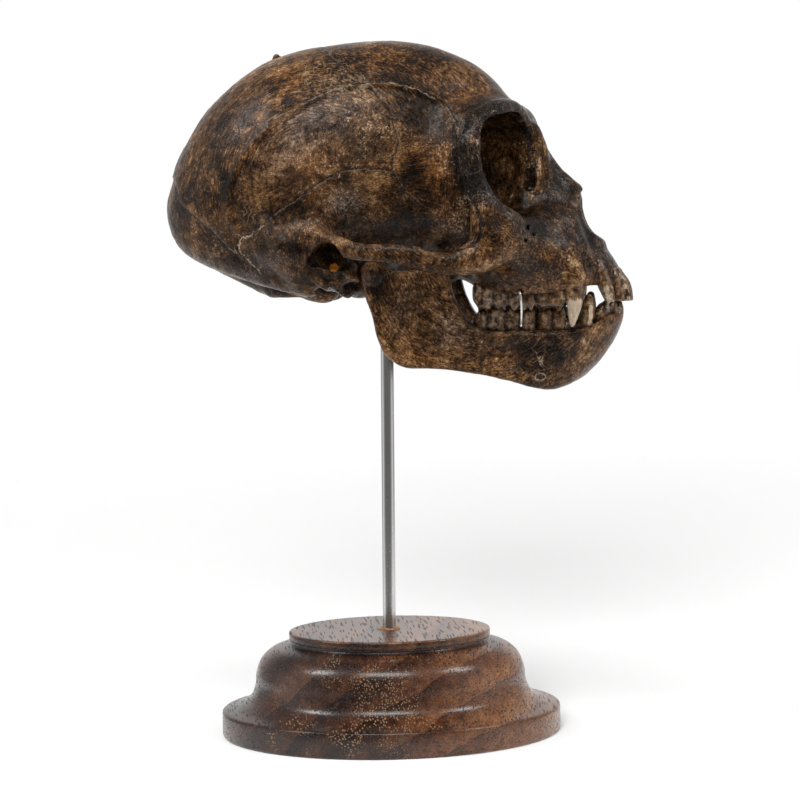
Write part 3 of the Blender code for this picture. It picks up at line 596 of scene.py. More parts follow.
def ball(centre, radii, yaw=0.0, pitch=0.0):
    """An ellipsoid. Yaw turns its nose outwards and pitch lifts its nose."""
    cy, sy = math.cos(math.radians(yaw)), math.sin(math.radians(yaw))
    cp, sp = math.cos(math.radians(pitch)), math.sin(math.radians(pitch))
    nose = np.array([cy * cp, sy * cp, sp])
    side = np.array([-sy, cy, 0.0])
    top = np.cross(nose, side)
    half = np.sqrt(sum((radii[i] * axis) ** 2 for i, axis in enumerate((nose, side, top))))
    reach = tuple(np.array(centre) - half), tuple(np.array(centre) + half)

    def distance(x, y, z):
        dx, dy, dz = x - centre[0], y - centre[1], z - centre[2]
        scaled = []
        for axis, radius in zip((nose, side, top), radii):
            scaled.append((dx * axis[0] + dy * axis[1] + dz * axis[2]) / radius)
        a = np.sqrt(sum(s * s for s in scaled)) + 1e-6
        b = np.sqrt(sum((s / r) ** 2 for s, r in zip(scaled, radii))) + 1e-6
        return a * (a - 1) / b

    return distance, *reach


def block(centre, halves, rounding):
    """A box with rounded edges."""
    reach = [np.array(centre) - halves, np.array(centre) + halves]
    inner = np.array(halves) - rounding

    def distance(x, y, z):
        dx, dy, dz = (np.abs(v - c) - h for v, c, h in zip((x, y, z), centre, inner))
        outside = np.sqrt(np.maximum(dx, 0) ** 2 + np.maximum(dy, 0) ** 2 + np.maximum(dz, 0) ** 2)
        return outside + np.minimum(np.maximum(dx, np.maximum(dy, dz)), 0) - rounding

    return distance, tuple(reach[0]), tuple(reach[1])


def behind_plane(shape, point, yaw, margin, blend):
    """The part of a shape that lies behind an upright plane through a point, or this far in front of it."""
    whole, low, high = shape
    facing = math.cos(math.radians(yaw)), math.sin(math.radians(yaw))

    def distance(x, y, z):
        ahead = (x - point[0]) * facing[0] + (y - point[1]) * facing[1] + 0 * z
        return smooth_max(whole(x, y, z), ahead - margin, blend)

    return distance, low, high


def limb(points, flat=1.0, steps=4):
    """A rounded strand through points given as (x, y, z, radius). Flat thins it across, from side to side."""
    path = smooth_curve(points, steps)
    widest = path[:, 3].max()
    low, high = path[:, :3].min(axis=0) - widest, path[:, :3].max(axis=0) + widest

    def distance(x, y, z):
        nearest = None
        for a, b in zip(path, path[1:]):
            run = b - a
            length = run[0] ** 2 + (run[1] * flat) ** 2 + run[2] ** 2 + 1e-9
            dx, dy, dz = x - a[0], (y - a[1]) * flat, z - a[2]
            t = np.clip((dx * run[0] + dy * run[1] * flat + dz * run[2]) / length, 0, 1)
            gap = np.sqrt((dx - t * run[0]) ** 2 + (dy - t * run[1] * flat) ** 2 + (dz - t * run[2]) ** 2)
            gap = gap - (a[3] + t * run[3])
            nearest = gap if nearest is None else np.minimum(nearest, gap)
        return nearest

    return distance, tuple(low), tuple(high)


def per_length(value, step):
    """Any smooth value that is zero on a surface, made into a distance near that surface."""
    slopes = np.gradient(value, step)
    return value / np.maximum(np.sqrt(sum(s * s for s in slopes)), LEAST_SLOPE)


# Braincase, seen from the side: the middle, the outline round it, and its half width along its length
BRAIN_MIDDLE = (-12, 127.5)
BRAIN_OUTLINE = [
    (-48.9, 121.2), (-47.2, 127.9), (-44.1, 135.6), (-38.6, 143.9), (-30.4, 151), (-22.9, 155),
    (-13.5, 157.3), (-2, 158.35), (6.6, 158.15), (15.5, 156.1), (23, 152.2), (29, 146.4), (33, 140),
    (34, 131), (31, 122.5), (25, 115), (15, 109.5), (4, 106.2), (-8, 104.6), (-18, 103.6), (-27, 104.2),
    (-35, 106.9), (-42.7, 111.2), (-47.3, 115.6),
]
BRAIN_WIDTHS = [(-50, 23.5), (-38, 26.3), (-22, 28.3), (-8, 27.9), (4, 26.6), (13, 25.2), (20, 25), (34, 26)]
BRAIN_ROUNDNESS = 2.25
BRAIN_NARROWING = 0.05
BRAIN_NARROWING_FROM_Z = 124
BRAIN_NARROWING_RISE = 30
BRAIN_BOX = ((-51, 0, 99), (34, 30, 160))


def brain_reach(x, z):
    """How far out a point of the side view lies, as a share of the way from the middle to the outline."""
    loop = smooth_curve(BRAIN_OUTLINE, 6, closed=True) - BRAIN_MIDDLE
    angles = np.arctan2(loop[:, 1], loop[:, 0])
    radii = np.hypot(loop[:, 0], loop[:, 1])
    order = np.argsort(angles)
    dx, dz = x - BRAIN_MIDDLE[0], z - BRAIN_MIDDLE[1]
    edge = np.interp(np.arctan2(dz, dx), angles[order], radii[order], period=2 * math.pi)
    return np.hypot(dx, dz) / edge


def brain_width(x, z):
    along, widths = np.array(BRAIN_WIDTHS, float).T
    upwards = np.clip((z - BRAIN_NARROWING_FROM_Z) / BRAIN_NARROWING_RISE, -0.5, 1)
    return np.interp(x, along, widths) * (1 - BRAIN_NARROWING * upwards)


def brain_side(x, z):
    """The braincase's surface beside the midline, at a point of the side view."""
    rest = np.clip(1 - brain_reach(x, z) ** BRAIN_ROUNDNESS, 0, 1)
    return float(brain_width(x, z) * rest ** (1 / BRAIN_ROUNDNESS))


def braincase():
    def distance(x, y, z):
        reach = brain_reach(x[:, 0, :], z[0, 0, :][None, :])[:, None, :]
        out = np.abs(y) / brain_width(x, z)
        value = (reach ** BRAIN_ROUNDNESS + out ** BRAIN_ROUNDNESS) ** (1 / BRAIN_ROUNDNESS) - 1
        return per_length(value, CRANIUM_STEP)

    return distance, *BRAIN_BOX


# Snout: top and bottom heights and half widths at its top and bottom, along its length
SNOUT = [
    # x, top, bottom, half width at the top, half width at the bottom
    (18.0, 113.0, 105.0, 8.0, 12.5),
    (22.5, 117.0, 102.6, 10.0, 15.8),
    (28.0, 118.5, 101.6, 10.0, 17.8),
    (33.0, 122.0, 101.0, 6.0, 18.0),
    (37.0, 126.5, 101.0, 3.6, 17.1),
    (41.0, 126.0, 101.0, 3.2, 15.9),
    (44.5, 123.0, 101.8, 3.2, 14.7),
    (46.5, 117.5, 102.2, 4.8, 13.2),
    (49.0, 112.6, 102.2, 5.0, 11.0),
    (51.4, 110.6, 101.8, 4.4, 8.8),
    (53.2, 108.2, 101.6, 4.0, 6.8),
    (54.6, 105.6, 101.2, 3.4, 5.0),
    (56.2, 102.2, 100.6, 2.0, 3.0),
]
SNOUT_TAPER = 1.75
SNOUT_SIDE_LEAN = 0.86
SNOUT_TOP_LEAN = 0.85
SNOUT_TOP_EDGE = 4.0
SNOUT_BOTTOM_EDGE = 1.5
SNOUT_END_EDGE = 2.0
SNOUT_BOX = ((17, 0, 99), (58, 18, 128))


def snout():
    along, tops, bottoms, narrow, wide = np.array(SNOUT, float).T

    def distance(x, y, z):
        top, bottom = np.interp(x, along, tops), np.interp(x, along, bottoms)
        share = np.clip((z - bottom) / np.maximum(top - bottom, 1), 0, 1)
        wide_here, narrow_here = np.interp(x, along, wide), np.interp(x, along, narrow)
        half = wide_here + (narrow_here - wide_here) * share ** SNOUT_TAPER
        side = (np.abs(y) - half) * SNOUT_SIDE_LEAN
        ends = np.maximum(along[0] - x, x - along[-1])
        shape = smooth_max(side, (z - top) * SNOUT_TOP_LEAN, SNOUT_TOP_EDGE)
        shape = smooth_max(shape, bottom - z, SNOUT_BOTTOM_EDGE)
        return smooth_max(shape, ends, SNOUT_END_EDGE)

    return distance, *SNOUT_BOX


# Orbit: the middle of its opening, its axis outwards, and its size
ORBIT_MOUTH = (31, 14.3, 129.6)
ORBIT_YAW = 17.0
ORBIT_RADII = (23.5, 11.5, 11.45)
ORBIT_WALL = 1.7
ORBIT_FACING = 28.0


def orbit_cup():
    """The bony cup round the eye socket, ended at the plane of its opening."""
    outer = ball(ORBIT_MOUTH, [r + ORBIT_WALL for r in ORBIT_RADII], yaw=ORBIT_YAW)
    return behind_plane(outer, ORBIT_MOUTH, yaw=ORBIT_FACING, margin=0.0, blend=1.0)


# The face, as strands of (x, y, z, radius) and as balls
BROW = [
    (33.2, 0, 139, 2.4), (32.8, 4.5, 140.5, 1.7), (31.6, 9.5, 141.8, 1.5), (29.6, 14.5, 142.2, 1.6),
    (27, 19.3, 141, 1.9), (24.6, 22.8, 138.3, 2.2), (22.9, 24.8, 134.3, 2.4), (22.6, 25.7, 130, 2.5),
    (23.6, 26.2, 125.5, 2.6), (26, 26.2, 121, 2.8), (29.6, 24.4, 116.4, 3),
]
BROW_ROOF = dict(centre=(24, 8, 139), radii=(8.5, 14, 5), pitch=-8)
EYE_FLOOR = [
    (29.6, 24.4, 116.4, 3), (33.2, 20, 115.2, 2.6), (35.6, 14.5, 115.2, 2.4), (36.9, 9.5, 116.6, 2),
    (37.9, 6.2, 120, 1.7), (38.2, 4.7, 126, 1.4), (37.6, 4.2, 132, 1.2), (35.6, 3.8, 137.4, 1.2),
]
NOSE_BRIDGE = [
    (32.6, 0, 139.2, 2.6), (33.9, 0, 137.2, 2.6), (35.5, 0, 134, 2.6), (37.1, 0, 130.7, 2.7),
    (39.8, 0, 127, 2.6), (42.6, 0, 125, 2), (45.3, 0, 123.8, 1.1),
]
NOSE_CORE = [(36, 0, 128, 3.4), (39.5, 0, 122, 4.6), (41, 0, 115, 6)]
NOSE_EDGE = [
    (44.8, 1.5, 123.6, 1.2), (45, 3.6, 121.4, 1.2), (45.1, 4.9, 118.4, 1.2), (45.8, 5.2, 115.4, 1.3),
    (47.5, 4.8, 113, 1.4), (49.4, 3, 111.6, 1.4), (50.1, 0, 111.1, 1.4),
]
NOSE_HOLLOW = dict(centre=(47.8, 0, 117.2), radii=(7, 4, 6.2), pitch=12)
CHEEK = [
    (25.2, 27.4, 119, 2.6), (26.2, 27.2, 114, 3.6), (29.8, 24, 112.4, 4.2), (34.2, 17.6, 111.2, 4.5),
    (38.6, 13, 110.4, 4.6),
]
CHEEK_TOP = [(36, 12.4, 114.4, 3), (39, 10.6, 115.4, 3.2), (42.4, 8.2, 115.2, 3)]
CHEEK_ARCH = [
    (-13, 27.4, 114.8, 1.8), (-8, 30.2, 113, 2.1), (-3, 32.2, 111.3, 2), (3, 33, 110.7, 1.9),
    (9, 32.9, 110, 2.3), (14, 32.2, 108.3, 2.5), (19, 30.8, 108.1, 2.5), (24, 28.6, 109.8, 3.2),
    (27.4, 26.4, 112, 3.6),
]
ARCH_FLATNESS = 1.55
CHEEK_ROOT = [(22, 29, 108.4, 2.4), (26, 26.2, 108.8, 2.4), (29.5, 22.8, 109.2, 2.6), (33, 19, 109.6, 2.8)]
CHEEK_FOOT = [(25, 17, 107, 2.6), (30, 17.4, 106.8, 3.5), (35.5, 16.2, 107, 3.8), (41.5, 13, 108, 3.6)]
SEPTUM = dict(centre=(21, 13, 125), radii=(8.5, 10.8, 14), yaw=25)
TUBER = dict(centre=(16.5, 11.8, 113.6), radii=(5.2, 5.6, 7))
CANINE_ROOT = [(46, 9.8, 111, 1.2), (45, 11.8, 106, 2.2)]
PALATE_HOLLOW = dict(centre=(36, 0, 100.5), radii=(17, 8.8, 5.2))
THROAT_HOLLOW = dict(centre=(20, 0, 103.5), radii=(9, 5.4, 4.6))

# The braincase's ridges and its underside
TEMPLE_LINE = [
    (21.5, 139), (18, 142.5), (12, 146), (3, 148), (-7, 147), (-17, 142), (-26, 134.5), (-30.5, 127),
    (-31, 119.5), (-27, 113.5),
]
TEMPLE_LINE_RADIUS = 0.6
TEMPLE_LINE_SINKS = [(-31, 0.5), (-16, 0.3), (-8, -0.1), (22, -0.4)]
NECK_EDGE = [
    (-40.5, 6, 115, 3), (-37.5, 11, 112.6, 3), (-33, 15, 110.4, 3), (-27.5, 18, 108.2, 3),
    (-22, 20, 106.3, 3), (-17, 21.3, 104.8, 2.8), (-12, 21.8, 104.1, 2.4),
]
NECK_MIDDLE = [(-41, 0, 112.2, 2), (-34, 0, 107.4, 1.6), (-28, 0, 103.9, 1.6)]
EAR_SWELL = dict(centre=(-17, 24.8, 113), radii=(8.5, 3.2, 4.6))
EAR_CREST = [
    (-23, 27.8, 118, 0.9), (-22.2, 28.3, 115.6, 1), (-19.6, 28.3, 113.2, 1.1), (-16.6, 27.9, 111.4, 1.1),
    (-13.5, 27, 109.8, 1.1), (-10.6, 25.8, 107.6, 1.2),
]
SKULL_FLOOR = [(-6, 0, 106, 4.5), (2, 0, 107.5, 4.5), (10, 0, 109.5, 4.5), (18, 0, 111, 4)]
WING_PLATE = [
    (7, 7.6, 109, 2.4), (9, 7.8, 105.5, 2.2), (11.5, 8.6, 103.2, 1.8), (15, 9.8, 105, 2.2),
    (19, 11.5, 109, 3),
]
WING_FLATNESS = 2.2
EAR_TUBE = [(-8.6, 23.6, 109.8, 4.6), (-8.4, 17, 106.6, 4.6)]
EAR_HOLE = dict(centre=(-8.6, 28.8, 110.2), radii=(3.6, 6, 3.2), yaw=4)
EAR_FLOOR = [
    (-3.6, 26.4, 107.6, 1.2), (-5, 25.2, 105.6, 1.4), (-8.4, 23.6, 104.6, 1.6), (-12, 22.6, 105, 1.6),
]
MASTOID = [(-17, 25, 112, 4.4), (-15.5, 24, 107.5, 3.4), (-13.5, 22.5, 104.6, 2.2)]
PETROUS = [(-5, 20, 103.4, 2), (-3, 15, 102.8, 2.4), (1, 9, 104.5, 2.4)]
RIM_OF_BIG_HOLE = [
    (-26.2, 0, 102.9, 1.4), (-24.6, 4.6, 102.2, 1.5), (-21, 7, 102.2, 1.5), (-16.5, 7.6, 102.3, 1.6),
]
NECK_KNUCKLE = dict(centre=(-12.8, 7.2, 102.3), radii=(4.4, 2.7, 3), yaw=14)
BIG_HOLE = dict(centre=(-18.6, 0, 104), radii=(6.8, 5.6, 10), pitch=-6)

# Finer forms: the eye socket's inner wall and edge, the crest and groove of the bar beside it, the canine's
# ridge, the ragged ear bones, a burr on the crown, the nose's broken tip, and the pits, slots and holes
INNER_WALL = [
    (31, 2.4, 137, 2.2), (33.4, 2.8, 134, 2.6), (34.6, 3, 130, 2.8), (34.6, 3.8, 125.6, 2.8),
    (33, 5.6, 121.4, 2.4),
]
EYE_EDGE_HOLLOW = [
    (31, 13, 136.6, 4.4), (28.6, 17, 136.8, 4.4), (26, 20.5, 136.2, 4.4), (24.4, 21.4, 132, 4.6),
    (25.2, 21.6, 128, 4.6), (28.4, 20, 123, 4.2),
]
BAR_CREST = [
    (21, 23.6, 139.6, 0.5), (20.3, 25.8, 136, 0.7), (20.6, 27, 131, 0.8), (21.4, 27.6, 127, 0.8),
    (22.6, 27.9, 123, 0.8), (24.4, 28.2, 119, 0.8), (25, 28.6, 116.2, 0.8), (24.2, 29.2, 113.4, 0.7),
]
BAR_GROOVE = [
    (18.4, 25.6, 134, 0.9), (19, 25.8, 129, 1.3), (20.2, 25.6, 124.5, 1.5), (21.8, 25.2, 120, 1.6),
    (22.2, 25.2, 116.5, 1.6), (20.4, 25.4, 113.4, 1.3),
]
CANINE_RIDGE = [(40.2, 13, 114, 1.2), (42.6, 13.4, 109.5, 2), (44.4, 13.2, 104, 2.6)]
FRONT_FOSSA = dict(centre=(48.2, 13, 107.6), radii=(1.6, 2, 3), yaw=-35)
EAR_RAGS = [
    [(-12.8, 26.2, 106.4, 1), (-11.4, 26.6, 104.8, 1.1), (-10, 25.2, 103.6, 0.9)],
    [(-6.4, 27.6, 107.4, 0.7), (-4.6, 27, 106, 0.9), (-3.4, 25.4, 104.6, 1), (-2.6, 24, 102.6, 0.7)],
    [(-8.2, 24.6, 104.6, 1.2), (-7, 22.4, 102.6, 1.1), (-5.6, 20.6, 101.4, 0.8)],
    [(-16.2, 22.6, 104.6, 1.3), (-15.6, 20.4, 102.4, 1.2), (-14.4, 18.4, 101.4, 0.8)],
]
EAR_NOTCHES = [
    dict(centre=(-6.6, 29, 108.6), radii=(2.4, 3.4, 1.7), pitch=-20),
    dict(centre=(-12, 28.6, 109.2), radii=(1.8, 2.8, 1.4), pitch=25),
    dict(centre=(-3.4, 24, 103.4), radii=(1, 4, 1.2)), dict(centre=(-11.6, 22, 102.2), radii=(1.2, 5, 1.3)),
]
CROWN_BURR = dict(centre=(-22.8, 0, 155.2), radii=(0.9, 0.9, 1.1))
NOSE_SPLINTERS = [
    [(44.6, 0.6, 124.1, 0.7), (46.3, 0.7, 123.7, 0.3)], [(44.4, 1.9, 122.7, 0.7), (45.8, 2.1, 122.2, 0.3)],
]
NERVE_HOLES = [(35, 115.3), (36.1, 113.7), (34.5, 112.6)]
NERVE_HOLE_RADIUS = 0.30
TEAR_PIT = [(35.1, 6.7, 127.4, 1.3), (34.9, 6.5, 124.8, 1.5)]
TEAR_CREST = [(37, 5.2, 131.2, 0.5), (37, 5.9, 128.2, 0.6), (36.8, 6.5, 125.6, 0.6), (36.2, 7.2, 123.6, 0.5)]
JAW_SLOT = [(11.5, 20.8, 112.4, 0.9), (15.5, 19.2, 111.6, 1.4), (19.5, 19, 110.9, 1.2)]
NECK_VEIN_HOLE = [(-26.6, 21, 107.4, 0.6), (-26.9, 16, 107.6, 0.6)]
WIRE_X = 32.65
WIRE_TOP_Z = 101.3
WIRE_BOTTOM_Z = 93.4
WIRE_HOLE_RADIUS = 0.5
DRILL_EDGE = 0.2
ROD_HOLE_RADIUS = 1.8
ROD_HOLE_MOUTH_Z = 95.0

temple = []
for x, z in TEMPLE_LINE:
    sink = np.interp(x, *np.array(TEMPLE_LINE_SINKS, float).T)
    temple.append((x, brain_side(x, z) - sink, z, TEMPLE_LINE_RADIUS))
skull_clay = Clay(*CRANIUM_BOX, CRANIUM_STEP)
skull_clay.add(
    braincase(), 0, NECK_EDGE, 7, NECK_MIDDLE, 4, SKULL_FLOOR, 5, SEPTUM, 8, orbit_cup(), 3, BROW, 2.5,
    BROW_ROOF, 4, NOSE_BRIDGE, 3, NOSE_CORE, 2, snout(), 3, CHEEK, 3, CHEEK_FOOT, 5, CHEEK_TOP, 4,
    EYE_FLOOR, 2.5, TUBER, 3, EAR_SWELL, 5, MASTOID, 3, limb(CHEEK_ARCH, ARCH_FLATNESS), 2.5, CHEEK_ROOT, 3,
    temple, 1.1, EAR_CREST, 1.6, EAR_TUBE, 3, PETROUS, 3, RIM_OF_BIG_HOLE, 2.5, NECK_KNUCKLE, 2,
    EAR_FLOOR, 1.5, limb(WING_PLATE, WING_FLATNESS), 2.5, CANINE_ROOT, 4,
)
eye_socket = ball(ORBIT_MOUTH, ORBIT_RADII, yaw=ORBIT_YAW)
skull_clay.cut(
    behind_plane(eye_socket, EYE_FLOOR[-2], yaw=30, margin=0.6, blend=4.0), 1.5, EYE_EDGE_HOLLOW, 1,
    NOSE_HOLLOW, 1, PALATE_HOLLOW, 2, THROAT_HOLLOW, 1.5, BIG_HOLE, 1, EAR_HOLE, 0.8,
)
skull_clay.add(NOSE_EDGE, 1.5, INNER_WALL, 2.5)
skull_clay.cut(BAR_GROOVE, 1.6)
skull_clay.add(BAR_CREST, 0.8, CANINE_RIDGE, 2)
for strand in EAR_RAGS:
    skull_clay.add(strand, 0.7)
for notch in EAR_NOTCHES:
    skull_clay.cut(notch, 0.6)
skull_clay.cut(FRONT_FOSSA, 1.5)
skull_clay.add(CROWN_BURR, 0.8)
for splinter in NOSE_SPLINTERS:
    skull_clay.add(splinter, 0.6)
for x, z in NERVE_HOLES:
    skull_clay.drill((x, 25.0, z), (x - 0.2, 19.6, z + 0.2), NERVE_HOLE_RADIUS, 0.6)
skull_clay.cut(TEAR_PIT, 0.5)
skull_clay.add(TEAR_CREST, 0.6)
skull_clay.cut(JAW_SLOT, 0.8, NECK_VEIN_HOLE, 0.5)
skull_clay.drill((WIRE_X, 15.0, WIRE_TOP_Z), (WIRE_X, 20.0, WIRE_TOP_Z), WIRE_HOLE_RADIUS, DRILL_EDGE)
skull_clay.drill(rod_point(ROD_HOLE_MOUTH_Z), rod_point(ROD_TOP_Z), ROD_HOLE_RADIUS, DRILL_EDGE)


def thinned(mesh, triangles):
    """The mesh with about this many triangles."""
    have = sum(len(polygon.vertices) - 2 for polygon in mesh.polygons)
    if have <= triangles:
        return mesh
    obj = placed("thinning", mesh)
    fewer = obj.modifiers.new("fewer", "DECIMATE")
    fewer.ratio = triangles / have
    seen = obj.evaluated_get(bpy.context.evaluated_depsgraph_get())
    made = bpy.data.meshes.new_from_object(seen)
    bpy.data.objects.remove(obj)
    return made


def read(items, name, columns=3, kind=np.float32):
    """A value of every point or edge of a mesh, one row each."""
    found = np.empty(len(items) * columns, kind)
    items.foreach_get(name, found)
    return found.reshape(-1, columns)


def places(mesh):
    """The mesh's points in millimetres."""
    return read(mesh.vertices, "co") / MM


def right_half(mesh):
    """The mesh's points in millimetres, those of one side folded over onto the other."""
    spots = places(mesh).astype(float)
    spots[:, 1] = np.abs(spots[:, 1])
    return spots


def ways_out(mesh):
    """The direction straight out of the surface at each point."""
    return read(mesh.vertex_normals, "vector")


def soften(mesh, values, rounds):
    """Values of the mesh's points, averaged with those beside them this many times."""
    a, b = read(mesh.edges, "vertices", 2, np.int32).T
    count = np.bincount(a, minlength=len(values)) + np.bincount(b, minlength=len(values))
    for _ in range(rounds):
        total = np.bincount(a, values[b], len(values)) + np.bincount(b, values[a], len(values))
        values = (values + total / np.maximum(count, 1)) / 2
    return values


def hollowness(mesh, rounds, radius):
    """How hollow each point lies, from -1 on sharp edges to 1 in creases, for bends of about this radius."""
    spots, out = places(mesh).astype(float), ways_out(mesh)
    middle = np.stack([soften(mesh, spots[:, i], 1) for i in range(3)], axis=1)
    a, b = read(mesh.edges, "vertices", 2, np.int32).T
    gap = np.linalg.norm(spots[a] - spots[b], axis=1).mean()
    bend = ((middle - spots) * out).sum(axis=1) * 8 / gap ** 2
    return np.tanh(soften(mesh, bend, rounds) * radius)


def lumps(spots, height, size):
    """Cloudy noise at each point, about this high either way, with lumps this many millimetres across."""
    return height * np.array([noise.fractal(Vector(spot), 0.9, 2.1, 3) for spot in (spots / size).tolist()])


def move_out(mesh, amounts):
    """Moves each point along its own way out, by millimetres."""
    moved = places(mesh) + ways_out(mesh) * np.asarray(amounts)[:, None]
    mesh.vertices.foreach_set("co", (moved * MM).astype(np.float32).ravel())
    mesh.update()


def record(mesh, **layers):
    """Keeps layers of three values for each point, for the finish to read."""
    for name, columns in layers.items():
        layer = mesh.attributes.new(name, "FLOAT_VECTOR", "POINT")
        layer.data.foreach_set("vector", np.stack(columns, axis=1).astype(np.float32).ravel())


def off_line(u, v, a, b):
    """How far points of a flat view lie from the nearest place on the line from a to b, in u and in v."""
    run = b - a
    t = np.clip(((u - a[0]) * run[0] + (v - a[1]) * run[1]) / (run @ run), 0, 1)
    return u - a[0] - t * run[0], v - a[1] - t * run[1]


def line_distance(spots, line):
    """The distance in the side view to a line through its points, with the sign of the side it lies on."""
    u, v = spots[:, 0], spots[:, 2]
    path = smooth_curve(line, 3)
    nearest = np.full(len(u), 1e9)
    side = np.ones(len(u))
    for a, b in zip(path, path[1:]):
        run = b - a
        gap = np.hypot(*off_line(u, v, a, b))
        closer = gap < nearest
        nearest = np.where(closer, gap, nearest)
        side = np.where(closer, np.sign(run[0] * (v - a[1]) - run[1] * (u - a[0])), side)
    return nearest * side


def strand_gap(spots, strand):
    """How far each point is from a strand's middle line."""
    path = smooth_curve(strand, 3)[:, :3]
    nearest = np.full(len(spots), 1e9)
    for a, b in zip(path, path[1:]):
        run = b - a
        t = np.clip((spots - a) @ run / (run @ run), 0, 1)
        nearest = np.minimum(nearest, np.linalg.norm(spots - a - t[:, None] * run, axis=1))
    return nearest


def stepped(spots, line, start, height, width):
    """How far a bone lies above its neighbour at a seam: half up on one side, half down on the other."""
    gap = line_distance(spots, line)
    rise = height * np.clip(gap / 0.5, -1, 1) * fade(np.abs(gap), 0.3 * width, width)
    return np.where(spots[:, 1] >= start, rise, 0)


def fade(values, near, far):
    """One up to near, nought from far on, smooth between."""
    t = np.clip((far - values) / (far - near), 0, 1)
    return t * t * (3 - 2 * t)


SEAM_DEPTH = 0.10
SEAM_WIDTH = 0.8
SEAM_FAR = 9.0

# Seams between the bones, seen from the side: the line, how far out from the midline it starts, how strong it
# shows, and how pale it is. The pale ones are filled with light dust and the others are open cracks, except
# the strongest, along the back edge of the bar beside the eye socket, which is a painted shadow line.
BONE_SEAMS = [
    ([(5.6, 128.5), (1.2, 128.9), (-2.6, 129.2), (-6.3, 128.4), (-9.2, 126.9), (-12.6, 124.8), (-15.6, 122.7),
      (-18.3, 121.2), (-21.6, 119.1), (-22.6, 116.7), (-21, 114.2)], 12, 1.2, 0.22),
    ([(-46.5, 128.2), (-44.7, 125.9), (-43.2, 122.2), (-39.2, 119.2), (-35.9, 116.4), (-32.1, 112.5),
      (-30.8, 111.4)], 0, 0.9, 0.45),
    ([(-23.4, 117.1), (-25.2, 116.1), (-26.6, 115), (-28.2, 114.8), (-29.3, 113.7), (-29.4, 112),
      (-27.2, 109.2), (-25.3, 107)], 10, 1, 1),
    ([(-11.5, 157.6), (-10.9, 156.9), (-8.5, 154.5), (-5.1, 152.2), (-4.3, 151.3), (-1, 148.4), (2.6, 145),
      (5.3, 141.6), (6.3, 137.6), (7.1, 134.3), (5.5, 131.4), (5.7, 128.6), (6.9, 126.1), (9.1, 123.2),
      (11.3, 121.4)], 0, 1.1, 0.2),
    ([(21, 128.9), (22.3, 127.6), (23.6, 127.7), (25.1, 128.2), (26.8, 128.6)], 20, 1, 0.15),
    ([(26.2, 106.6), (27.7, 107.6), (29.1, 108.4), (30.4, 110.1), (31.3, 112.8)], 14, 0.7, 0.2),
    ([(38.9, 130.5), (40.5, 128.3), (42.5, 126.5), (44.5, 124.8)], 1, 0.8, 0.1),
    # This dark line, along the back edge of the bar beside the eye socket, is a painted shadow line drawn
    # like a seam.
    ([(19.1, 138.6), (19.4, 134.6), (19.6, 131), (20.6, 127), (22.3, 123.4), (24.4, 119.4), (25.1, 116.5),
      (24.6, 113.6), (22.8, 111.8), (19, 110.9), (13, 111.4)], 18, 2.2, 0),
    ([(31, 130), (32.3, 130.8), (33.2, 131.1), (34.1, 131.3), (35.5, 132.5), (37, 133.3)], 2, 0.8, 0.2),
    ([(20.2, 137.2), (18.8, 139.7), (16.7, 143), (12, 146.1), (7.3, 147.8), (2.8, 148.2), (-2.7, 147.9),
      (-7.2, 146.9), (-11, 145.5), (-13.9, 144.3)], 8, 1.4, 0.45),
]
